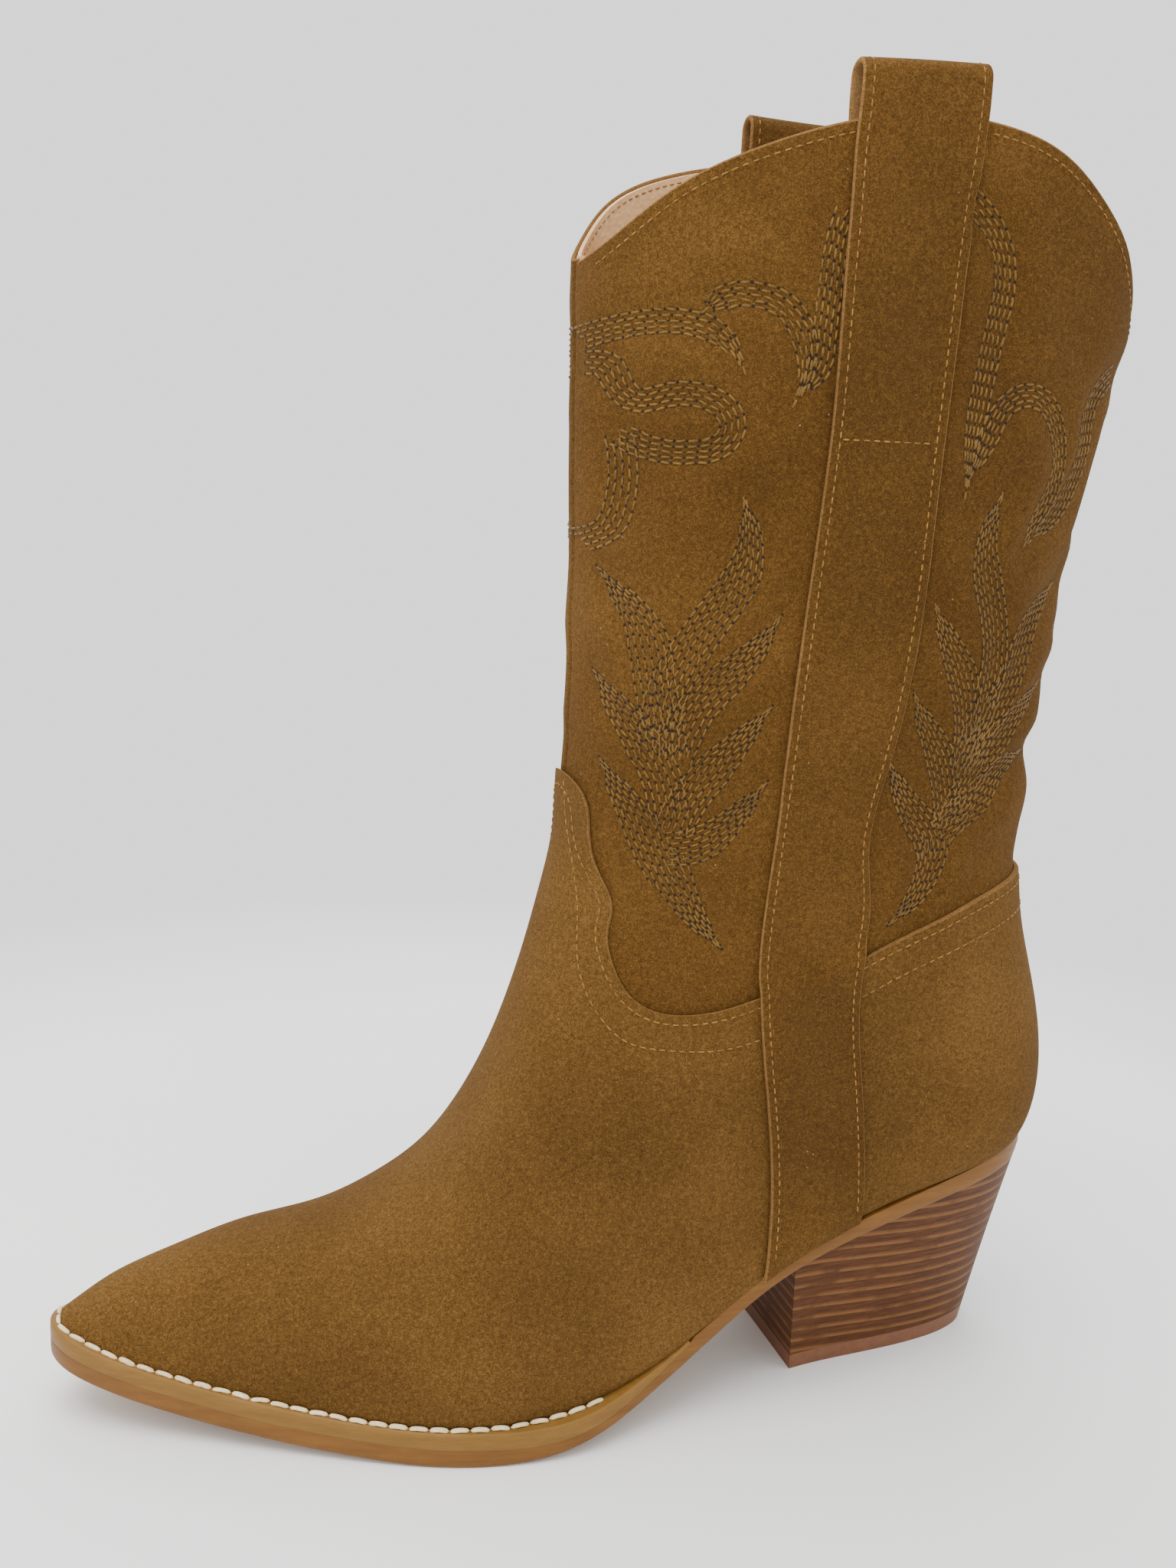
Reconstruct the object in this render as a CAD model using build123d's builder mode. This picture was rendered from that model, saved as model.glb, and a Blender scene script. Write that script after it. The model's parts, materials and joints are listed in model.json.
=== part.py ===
"""Left cowboy boot, made as an assembly of its separate pieces.

Millimetres, +Z up. The toe points to -X, the heel to +X, and the outer (lateral) side
of this left boot faces -Y. The boot is drawn round the centre line of its last, and each
finished piece is moved so that the origin is on the floor under the middle of the boot.
The layers of the upper are shells between copies of one last, each copy moved out by
a "skin" distance, and each layer is cut to its pattern by prisms seen from the side.
"""

from build123d import *
from collections import namedtuple
from math import cos, hypot, pi
import os

os.makedirs("parts", exist_ok=True)

# ---------------------------------------------------------------- driving dimensions
# skins: distance out from the last
TAIL_SKIN = -3.0
INSOLE_SKIN = -2.7
LINING_SKIN = -1.5
TAPE_SKIN = -0.5
PANEL_SKIN = 0.0
VAMP_SKIN = 1.3
STRAP_SKIN = 3.0
STRAP_LEG_SKIN = 1.4
STRAP_THICKNESS = 1.4
GLUE_LINE = 0.15
STRAP_STEP_SECTION = 15

# sole unit, thicknesses measured upright
INSOLE_THICKNESS = 2.4
FOAM_THICKNESS = 2.0
SOCK_THICKNESS = 1.0
SHANK_THICKNESS = 1.4
SHANK_HALF_WIDTH = 6.5
SHANK_FRONT_X = -14.0
SHANK_BACK_X = 84.0
TOE_PUFF_BACK_X = -86.0
SIDE_SEAM_X = 53.0
TAPE_HALF_WIDTH = 6.0
TAPE_DEPTH = 10.0
TAIL_LOWER_Z = 252.0
STRAP_TOP_Z = 325.0

# heel
TOP_PIECE_THICKNESS = 5.0
LIFT_THICKNESS = 6.0
LIFT_COUNT = 8
HEEL_LOFT_TOP_Z = 72.0
NAIL_RADIUS = 1.0
NAIL_DEPTH = 24.0
NAIL_PLACES = [(68, -20), (68, 20), (90, -18), (90, 18), (110, -12), (110, 12)]
SCREW_RADIUS = 2.0
SCREW_X = 93.0
SCREW_TIP_Z = 16.0
BRAD_RADIUS = 0.9
BRAD_LENGTH = 13.0
BRAD_PLACES = [(66, -17), (66, 17), (88, -13), (88, 13), (110, -8), (110, 8)]

# pull loops
LOOP_BASE_Z = 326.8
LOOP_TOP_Z = 337.0
LOOP_FRONT_X = 47.0
LOOP_BACK_X = 77.5
LOOP_WIDTH = 7.6
LOOP_Y = {"lateral": -45.0, "medial": 34.7}

LAST_TO_BOOT = (-2.5, 3.9, 0.0)
BIG = 400.0
HALF_SPAN = 90.0
OUTLINE_STEPS = 9
FRONT_POWER = 2.1
BACK_POWER = 2.6
SMALLEST_HALF_WIDTH = 0.4

Section = namedtuple(
    "Section",
    "front_x front_z back_x back_z lateral medial centre front_round back_round lead",
)

# Sections of the last, from the toe tip round the instep and up the leg. Each lies in a
# plane across the boot, from its front (or top) edge to its back (or bottom) edge.
SECTIONS = [
    Section(-129.0, 22.3, -129.0, 20.8, 0.5, 0.5, 4.5, 0.3, 0.4, 1.0),  # toe tip
    Section(-128.2, 23.0, -128.6, 14.5, 5.0, 5.2, 4.5, 7.0, 4.5, 0.8),
    Section(-124.2, 26.2, -125.6, 11.5, 8.8, 8.6, 4.5, 13.0, 6.0, 0.5),
    Section(-116.0, 31.3, -118.0, 10.0, 13.4, 13.2, 4.0, 18.5, 6.5, 0.2),
    Section(-102.0, 36.6, -105.0, 8.0, 18.3, 19.0, 3.0, 23.0, 7.0, 0.0),  # toe box
    Section(-84.0, 42.0, -88.0, 6.0, 24.5, 26.0, 1.5, 28.0, 8.0, 0.0),
    Section(-65.0, 45.5, -70.0, 4.5, 31.5, 32.0, 0.0, 33.0, 9.0, 0.0),
    Section(-48.0, 53.0, -51.5, 3.5, 38.5, 36.5, -1.0, 40.5, 10.0, 0.0),
    Section(-34.5, 64.5, -31.5, 3.0, 42.5, 38.5, -1.8, 52.0, 11.0, 0.0),  # ball
    Section(-24.0, 82.0, -9.5, 4.0, 42.0, 37.0, -1.8, 65.0, 12.0, 0.0),
    Section(-17.0, 99.5, 17.5, 12.5, 39.5, 34.5, -1.2, 75.5, 13.0, 0.0),  # waist
    Section(-11.5, 116.5, 51.5, 32.0, 36.0, 33.5, -0.5, 79.0, 14.0, 0.0),
    Section(-7.2, 132.5, 89.0, 48.5, 34.0, 33.0, 0.0, 77.0, 18.0, 0.0),
    Section(-4.0, 147.5, 125.5, 60.8, 33.0, 32.5, 0.0, 72.0, 32.0, 0.0),  # heel seat
    Section(-3.1, 162.0, 132.6, 93.5, 34.5, 34.0, 0.0, 69.0, 50.0, 0.0),
    Section(-2.9, 177.0, 123.0, 129.5, 36.8, 35.2, -0.2, 67.0, 60.0, 0.0),
    Section(-3.2, 197.0, 120.2, 165.0, 38.8, 36.8, -0.7, 64.0, 64.0, 0.0),  # ankle
    Section(-4.0, 222.0, 125.0, 206.0, 40.7, 38.0, -1.3, 66.5, 67.0, 0.0),
    Section(-5.5, 255.0, 133.5, 250.0, 42.5, 38.8, -2.0, 71.5, 73.0, 0.0),
    Section(-6.7, 295.0, 139.3, 295.0, 43.4, 38.8, -2.6, 75.0, 78.0, 0.0),
    Section(-7.7, 345.0, 143.8, 345.0, 43.7, 38.6, -2.8, 77.0, 80.0, 0.0),  # above the top
]

# side-view lines (x, z)
FEATHER_FRONT = [(-142, 25.5), (-105.5, 16), (-64.5, 10.5), (-30, 9), (-2, 11.5), (25, 24.2)]
WELT_LOWER = [(-142, 21.1), (-105.5, 11.6), (-64.5, 6.1), (-30, 4.6), (-2, 7.4), (25, 23.4)]
FEATHER_BACK = [(25, 24.2), (48, 39.2), (71.5, 49.3), (104, 58), (142, 66)]
OUTSOLE_LOWER = [
    (-142, 16.4), (-105.5, 7), (-64.5, 1.5), (-36, -0.1), (-8, 2.8), (25, 18.6), (48, 34.4),
    (71.5, 44.6), (104, 53.3), (142, 61.3),
]
VAMP_EDGE = [
    (-14, 168), (-6.8, 166.8), (-3.2, 161.5), (-2.2, 154), (-1, 146), (1.5, 140),
    (3.2, 134.6), (2.2, 128.5), (3.5, 119.5), (6.5, 113.5), (13.5, 109), (21, 108.3),
    (29, 109.3), (39.5, 112.5), (53, 117),
]
FOXING_EDGE = [
    (53, 115), (65, 121.3), (75.5, 126.8), (85, 131.2), (96, 135.6), (112, 140), (146, 144),
]
PANEL_LOWER = [
    (-30, 150), (-10, 120), (8, 101), (30, 97), (52, 103), (75, 114), (100, 125), (150, 131),
]
TOPLINE = [(-14, 277), (-5, 290), (6.5, 305.5), (26.5, 316), (48, 322.5), (64, 324.5), (80.5, 324)]
TOPLINE_BACK = [
    (80.5, 324), (94.5, 321.2), (105.5, 316), (116.5, 306.8), (127, 295), (138, 281.5), (148, 268),
]
STRAP_FRONT = [(43, 26), (44.5, 62), (41.5, 93), (39.5, 114), (39.5, 137), (40.2, 152), (40.8, 176)]
STRAP_FRONT_LEG = [(40.8, 176), (44, 252), (44.8, 286), (46.8, 325)]
STRAP_BACK_LEG = [(78, 325), (75, 286), (72, 252), (68.3, 176)]
STRAP_BACK = [(68.3, 176), (64.8, 152), (67, 137), (66.5, 114), (68.5, 93), (71.5, 62), (71, 26)]

# plan outline of the outsole (x, y), toe tip first and round the lateral side
SOLE_OUTLINE = [
    (-134.5, 4.5), (-131.5, -4), (-124, -10.5), (-105.5, -19.8), (-84.5, -29.5), (-64, -38.5),
    (-43.5, -46), (-22, -49.6), (-5, -48.5), (14, -42), (36, -37.2), (78, -33.4), (103, -30.5),
    (120.8, -25), (131.6, -14), (135.4, 0), (131.6, 14), (120.8, 24.5), (103, 30), (78, 32.3),
    (36, 33.3), (8, 34.5), (-13, 38.5), (-33, 41.8), (-54, 41), (-74, 37), (-95, 30.8),
    (-116, 22.3), (-128, 15.3), (-133, 10),
]

# plan outline of the forepart filler; the welt lies round it, and both stop at the waist
FILLER_OUTLINE = [
    (-116, 3.5), (-105, -8), (-84.5, -18.5), (-64, -27.5), (-43.5, -35), (-22, -38.5), (-5, -37.5),
    (14, -31.5), (36, -27), (60, -22), (68, 0), (60, 21), (36, 23.5), (8, 24.5), (-13, 28.5),
    (-33, 31.8), (-54, 31), (-74, 27), (-95, 20), (-108, 12),
]

# plan outlines of the heel (x, y), lateral front corner round the back to the medial one
HEEL_BASE = [
    (61, -22.4), (86, -18.4), (105, -15), (117, -10.4), (123.6, -4), (123.6, 4), (117, 10.2),
    (105, 14.8), (86, 18.2), (61, 22),
]
HEEL_SEAT = [
    (50.5, -44), (78, -40.5), (106, -35.5), (126, -25.5), (137.3, -9), (137.3, 9), (126, 25),
    (106, 35), (78, 39.5), (50.5, 42),
]


# ---------------------------------------------------------------- building helpers
def block(low, high):
    """Box between two corners."""
    with BuildPart() as box:
        with Locations(tuple((low[axis] + high[axis]) / 2 for axis in range(3))):
            Box(*[high[axis] - low[axis] for axis in range(3)])
    return box.part


HALF_ZONES = {
    "lateral": block((-BIG, -HALF_SPAN, -BIG), (BIG, 0, BIG)),
    "medial": block((-BIG, 0, -BIG), (BIG, HALF_SPAN, BIG)),
}


def quarter(travel, power):
    """Height of a superellipse quarter after a share of its length."""
    travel = min(max(travel, 0.0), 1.0)
    return (1 - (1 - travel) ** power) ** (1 / power)


def section_plane(section, skin):
    """Plane of one section: x runs front to back, y to the medial side."""
    chord = Vector(section.back_x - section.front_x, 0, section.back_z - section.front_z)
    across = chord.normalized()
    origin = (section.front_x - section.lead * skin, 0, section.front_z)
    return Plane(origin=origin, x_dir=across, z_dir=across.cross(Vector(0, 1, 0)))


def ring(section, skin):
    """Points round one section, from the front over the lateral side, back and medial side."""
    length = hypot(section.back_x - section.front_x, section.back_z - section.front_z) + 2 * skin

    def ring_point(step, side, half_width):
        along = length * (1 - cos(pi * step / OUTLINE_STEPS)) / 2
        front = quarter(along / (section.front_round + skin), FRONT_POWER)
        back = quarter((length - along) / (section.back_round + skin), BACK_POWER)
        return (along - skin, section.centre + side * (half_width + skin) * front * back)

    lateral = [ring_point(step, -1, section.lateral) for step in range(OUTLINE_STEPS + 1)]
    medial = [ring_point(step, 1, section.medial) for step in range(OUTLINE_STEPS + 1)]
    return lateral + medial[-2::-1]


def stretch(section, skin, way):
    """Part of a section's ring: one half run on past the centre line, or all but one end."""
    points = ring(section, skin)[:-1]
    front, back, run_on = len(points), OUTLINE_STEPS, 2
    circle = points * 3
    if way == "lateral":
        return circle[front - run_on : front + back + run_on + 1]
    if way == "medial":
        return circle[front + back - run_on : 2 * front + run_on + 1]
    if way == "round_back":
        return circle[front + 1 : 2 * front]
    return circle[front + back + 1 : 2 * front + back]


def thin_shell(inner_skins, outer_skins, way):
    """Layer between two skins, lofted section by section."""
    with BuildPart() as layer:
        for section, inner, outer in zip(SECTIONS, inner_skins, outer_skins):
            if section.lateral + inner < SMALLEST_HALF_WIDTH:
                continue
            inside = stretch(section, inner, way)
            outside = stretch(section, outer, way)
            with BuildSketch(section_plane(section, (inner + outer) / 2)):
                with BuildLine():
                    Spline(*outside)
                    Line(outside[-1], inside[-1])
                    Spline(*inside[::-1])
                    Line(inside[0], outside[0])
                make_face()
        loft(ruled=True)
        if way in HALF_ZONES:
            add(HALF_ZONES[way], mode=Mode.INTERSECT)
    return layer.part


def even_shell(inner, outer, way):
    """Layer of even thickness."""
    count = len(SECTIONS)
    return thin_shell([inner] * count, [outer] * count, way)


def last_body(skin):
    """Solid last moved out by one skin."""
    with BuildPart() as body:
        for section in SECTIONS:
            if section.lateral + skin < SMALLEST_HALF_WIDTH:
                continue
            with BuildSketch(section_plane(section, skin)):
                with BuildLine():
                    points = ring(section, skin)
                    Spline(*points[: OUTLINE_STEPS + 1])
                    Spline(*points[OUTLINE_STEPS:])
                make_face()
        loft(ruled=True)
    return body.part


def draw_runs(runs):
    """Closed side-view or plan outline: splines joined by straight lines."""
    with BuildLine() as outline:
        for run in runs:
            if len(run) > 2:
                Spline(*run)
            elif len(run) == 2:
                Line(*run)
        for run, following in zip(runs, runs[1:] + runs[:1]):
            if Vector(*run[-1]).sub(Vector(*following[0])).length > 1e-6:
                Line(run[-1], following[0])
    return outline.line


def side_prism(*runs, near=HALF_SPAN, far=HALF_SPAN):
    """Prism across the boot; near is its reach to -Y and far its reach to +Y."""
    with BuildPart() as prism:
        with BuildSketch(Plane.XZ.offset(-far)):
            add(draw_runs(list(runs)))
            make_face()
        extrude(amount=near + far)
    return prism.part


def plan_prism(outline):
    """Upright prism over a closed plan outline."""
    with BuildPart() as prism:
        with BuildSketch(Plane.XY.offset(-5)):
            with BuildLine():
                Spline(*outline, periodic=True)
            make_face()
        extrude(amount=120)
    return prism.part


def shifted(line, rise):
    """Side-view line moved up."""
    return [(x, z + rise) for x, z in line]


def slab(upper_runs, lower_runs):
    """Prism between two open side-view curves, each a list of runs."""
    return side_prism(*upper_runs, *[run[::-1] for run in lower_runs[::-1]])


def pattern(body, *zones):
    """Body cut to every zone."""
    with BuildPart() as piece:
        add(body)
        for zone in zones:
            add(zone, mode=Mode.INTERSECT)
    return piece.part


def pins(places, radius, low, high):
    """Upright pins from low to high, one at each place."""
    with BuildPart() as group:
        with BuildSketch(Plane.XY.offset(low)):
            with Locations(*places):
                Circle(radius)
        extrude(amount=high - low)
    return group.part


def export(piece, name):
    """Move a finished piece into the boot's frame, label it and write it."""
    placed = piece.moved(Location(LAST_TO_BOOT))
    placed.label = name
    export_step(placed, "parts/" + name + ".step")
    print(f"{name:26s} {len(piece.solids())} solids {piece.volume:10.1f} mm3")


# ---------------------------------------------------------------- cutting zones
FEATHER = [FEATHER_FRONT, FEATHER_BACK]
OUTSOLE_UPPER = [WELT_LOWER, FEATHER_BACK]


def raised(runs, rise):
    """Every run of a side-view curve moved up."""
    return [shifted(run, rise) for run in runs]


above_feather = side_prism(*raised(FEATHER, GLUE_LINE), [(BIG, BIG), (-BIG, BIG)])
below_topline = side_prism(TOPLINE, TOPLINE_BACK, [(BIG, 20), (-BIG, 20)])
above_panel_edge = side_prism(PANEL_LOWER, [(BIG, 200), (BIG, BIG)], [(-BIG, BIG), (-BIG, 150)])
below_panel_edge = side_prism(
    shifted(PANEL_LOWER, -2 * GLUE_LINE), [(BIG, 100), (BIG, -BIG)], [(-BIG, -BIG), (-BIG, 150)]
)
vamp_zone = side_prism(
    VAMP_EDGE, [(SIDE_SEAM_X - GLUE_LINE, -20), (-170, -20)], [(-170, 100), (-30, 180)]
)
foxing_zone = side_prism(FOXING_EDGE, [(170, 144), (170, -20)], [(SIDE_SEAM_X, -20)])
strap_zone = side_prism(
    STRAP_FRONT, STRAP_FRONT_LEG, [(46.8, STRAP_TOP_Z), (78, STRAP_TOP_Z)], STRAP_BACK_LEG, STRAP_BACK
)
toe_zone = block((-BIG, -HALF_SPAN, -BIG), (TOE_PUFF_BACK_X - GLUE_LINE, HALF_SPAN, BIG))
forepart_zone = block((TOE_PUFF_BACK_X, -HALF_SPAN, -BIG), (SIDE_SEAM_X - GLUE_LINE, HALF_SPAN, BIG))
front_zone = block((-BIG, -HALF_SPAN, -BIG), (SIDE_SEAM_X - GLUE_LINE, HALF_SPAN, BIG))
back_zone = block((SIDE_SEAM_X, -HALF_SPAN, -BIG), (BIG, HALF_SPAN, BIG))
tail_zone = block((-BIG, -HALF_SPAN, TAIL_LOWER_Z), (BIG, HALF_SPAN, STRAP_TOP_Z))
below_tape = side_prism(
    shifted(TOPLINE, -TAPE_DEPTH), shifted(TOPLINE_BACK, -TAPE_DEPTH), [(BIG, 20), (-BIG, 20)]
)
seam_zone = block((-BIG, -TAPE_HALF_WIDTH, -BIG), (BIG, TAPE_HALF_WIDTH, BIG))

# ---------------------------------------------------------------- foot of the upper
vamp_layer = (VAMP_SKIN, STRAP_SKIN - GLUE_LINE)
panel_layer = (PANEL_SKIN, VAMP_SKIN - GLUE_LINE)
tape_layer = (TAPE_SKIN, PANEL_SKIN - GLUE_LINE / 2)
lining_layer = (LINING_SKIN, TAPE_SKIN - GLUE_LINE)
tail_layer = (TAIL_SKIN, LINING_SKIN - GLUE_LINE)

foot_layers = {
    "vamp": (vamp_layer, "round_top", [vamp_zone]),
    "heel_foxing": (vamp_layer, "round_back", [foxing_zone]),
    "toe_puff": (panel_layer, "round_top", [toe_zone]),
    "vamp_interlining": (panel_layer, "round_top", [forepart_zone, below_panel_edge]),
    "heel_stiffener": (panel_layer, "round_back", [back_zone, below_panel_edge]),
    "vamp_lining": (lining_layer, "round_top", [front_zone, below_panel_edge]),
    "heel_lining": (lining_layer, "round_back", [back_zone, below_panel_edge]),
}
foot_parts = {}
for name, (layer, way, zones) in foot_layers.items():
    with BuildPart() as foot_layer:
        add(pattern(even_shell(*layer, way), above_feather, *zones))
    foot_parts[name] = foot_layer.part
    export(foot_layer.part, name)

# ---------------------------------------------------------------- shaft, straps and loops
strap_step = [STRAP_SKIN] * STRAP_STEP_SECTION + [2.6, 1.9]
strap_inner = strap_step + [STRAP_LEG_SKIN] * (len(SECTIONS) - len(strap_step))
strap_outer = [skin + STRAP_THICKNESS for skin in strap_inner]

for side in ("lateral", "medial"):
    with BuildPart() as shaft_panel:
        add(pattern(even_shell(*panel_layer, side), above_panel_edge, below_topline))
    export(shaft_panel.part, "shaft_panel_" + side)

    with BuildPart() as shaft_lining:
        add(pattern(even_shell(*lining_layer, side), above_panel_edge, below_topline))
    export(shaft_lining.part, "shaft_lining_" + side)

    with BuildPart() as topline_tape:
        add(pattern(even_shell(*tape_layer, side), below_topline))
        add(below_tape, mode=Mode.SUBTRACT)
    export(topline_tape.part, "topline_tape_" + side)

    with BuildPart() as side_strap:
        add(pattern(thin_shell(strap_inner, strap_outer, side), above_feather, strap_zone))
        add(foot_parts["heel_foxing"], mode=Mode.SUBTRACT)
    export(side_strap.part, "side_strap_" + side)

    with BuildPart() as strap_tail:
        add(pattern(even_shell(*tail_layer, side), strap_zone, tail_zone))
    export(strap_tail.part, "strap_tail_" + side)

    loop_z = (LOOP_BASE_Z + LOOP_TOP_Z) / 2
    loop_height = LOOP_TOP_Z - LOOP_BASE_Z
    with BuildPart() as pull_loop:
        with BuildSketch(Plane.YZ.offset(LOOP_FRONT_X)):
            with Locations((LOOP_Y[side], loop_z)):
                arch = Rectangle(LOOP_WIDTH, loop_height)
            fillet(arch.vertices().group_by(Axis.Z)[-1], LOOP_WIDTH / 2 - 0.3)
            with Locations((LOOP_Y[side], loop_z - STRAP_THICKNESS)):
                Rectangle(LOOP_WIDTH - 2 * STRAP_THICKNESS, loop_height, mode=Mode.SUBTRACT)
        extrude(amount=LOOP_BACK_X - LOOP_FRONT_X)
    export(pull_loop.part, "pull_loop_" + side)

for name, way, end_zone in (
    ("front_seam_tape", "round_top", front_zone),
    ("back_seam_tape", "round_back", back_zone),
):
    with BuildPart() as seam_tape:
        seam_zones = (end_zone, seam_zone, above_panel_edge, below_tape)
        add(pattern(even_shell(*tape_layer, way), *seam_zones))
    export(seam_tape.part, name)

# ---------------------------------------------------------------- sole unit
INSOLE_TOP = INSOLE_THICKNESS
FOAM_TOP = INSOLE_TOP + FOAM_THICKNESS
SOCK_TOP = FOAM_TOP + SOCK_THICKNESS
inside_last = last_body(INSOLE_SKIN)

heel_nails = pattern(
    pins(NAIL_PLACES, NAIL_RADIUS, 0, 90),
    slab(raised(FEATHER, INSOLE_TOP), raised(FEATHER, INSOLE_TOP - NAIL_DEPTH)),
)
heel_screw = pattern(
    pins([(SCREW_X, 0)], SCREW_RADIUS, SCREW_TIP_Z, 90),
    side_prism(*raised(FEATHER, INSOLE_TOP), [(BIG, -BIG), (-BIG, -BIG)]),
)
top_piece_brads = pins(BRAD_PLACES, BRAD_RADIUS, 0, BRAD_LENGTH)

with BuildPart() as shank:
    with BuildSketch(Plane.XY):
        with Locations(((SHANK_FRONT_X + SHANK_BACK_X) / 2, 0)):
            SlotOverall(SHANK_BACK_X - SHANK_FRONT_X, 2 * SHANK_HALF_WIDTH)
    extrude(amount=120)
    add(slab(OUTSOLE_UPPER, raised(OUTSOLE_UPPER, -SHANK_THICKNESS)), mode=Mode.INTERSECT)
export(shank.part, "shank")

sole_plan = plan_prism(SOLE_OUTLINE)
filler_plan = plan_prism(FILLER_OUTLINE)

with BuildPart() as insole_board:
    add(pattern(inside_last, slab(raised(FEATHER, INSOLE_TOP), raised(FEATHER, GLUE_LINE))))
    add(heel_nails, mode=Mode.SUBTRACT)
    add(heel_screw, mode=Mode.SUBTRACT)
export(insole_board.part, "insole_board")

with BuildPart() as sock_foam:
    foam_slab = slab(raised(FEATHER, FOAM_TOP), raised(FEATHER, INSOLE_TOP + GLUE_LINE))
    add(pattern(inside_last, foam_slab))
export(sock_foam.part, "sock_foam")

with BuildPart() as sock_liner:
    sock_slab = slab(raised(FEATHER, SOCK_TOP), raised(FEATHER, FOAM_TOP + GLUE_LINE))
    add(pattern(inside_last, sock_slab))
export(sock_liner.part, "sock_liner")

with BuildPart() as welt:
    add(pattern(sole_plan, slab([FEATHER_FRONT], [WELT_LOWER])))
    add(filler_plan, mode=Mode.SUBTRACT)
export(welt.part, "welt")

with BuildPart() as forepart_filler:
    add(pattern(filler_plan, slab([FEATHER_FRONT], [WELT_LOWER])))
export(forepart_filler.part, "forepart_filler")

with BuildPart() as outsole:
    add(pattern(sole_plan, slab(OUTSOLE_UPPER, [OUTSOLE_LOWER])))
    add(block((-BIG, -HALF_SPAN, 0), (BIG, HALF_SPAN, BIG)), mode=Mode.INTERSECT)
    for fixing in (shank.part, heel_nails, heel_screw):
        add(fixing, mode=Mode.SUBTRACT)
export(outsole.part, "outsole")

# ---------------------------------------------------------------- heel
with BuildPart() as heel_block:
    for outline, height in ((HEEL_BASE, 0), (HEEL_SEAT, HEEL_LOFT_TOP_Z)):
        with BuildSketch(Plane.XY.offset(height)):
            with BuildLine():
                Spline(*outline)
                Line(outline[-1], outline[0])
            make_face()
    loft(ruled=True)
    below_outsole = side_prism(OUTSOLE_LOWER, [(BIG, 61.3), (BIG, -BIG)], [(-BIG, -BIG), (-BIG, 16.4)])
    add(below_outsole, mode=Mode.INTERSECT)
    for fixing in (heel_nails, heel_screw, top_piece_brads):
        add(fixing, mode=Mode.SUBTRACT)

lift_bottoms = [TOP_PIECE_THICKNESS + LIFT_THICKNESS * step for step in range(LIFT_COUNT)]
levels = [0.0, *lift_bottoms, HEEL_LOFT_TOP_Z]
for step, (low, high) in enumerate(zip(levels, levels[1:])):
    with BuildPart() as heel_layer:
        add(pattern(heel_block.part, block((0, -HALF_SPAN, low), (BIG, HALF_SPAN, high))))
    export(heel_layer.part, f"heel_lift_{step}" if step else "heel_top_piece")

export(heel_nails, "heel_nails")
export(heel_screw, "heel_screw")
export(top_piece_brads, "top_piece_brads")
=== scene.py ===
"""Visual model of a left suede cowboy boot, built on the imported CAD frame.

The toe points to -X and the outer (lateral) side faces -Y. Shapes are worked out in
millimetres and turned into metres when a mesh is made.
"""

import json
from math import cos, pi, radians, sin

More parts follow.
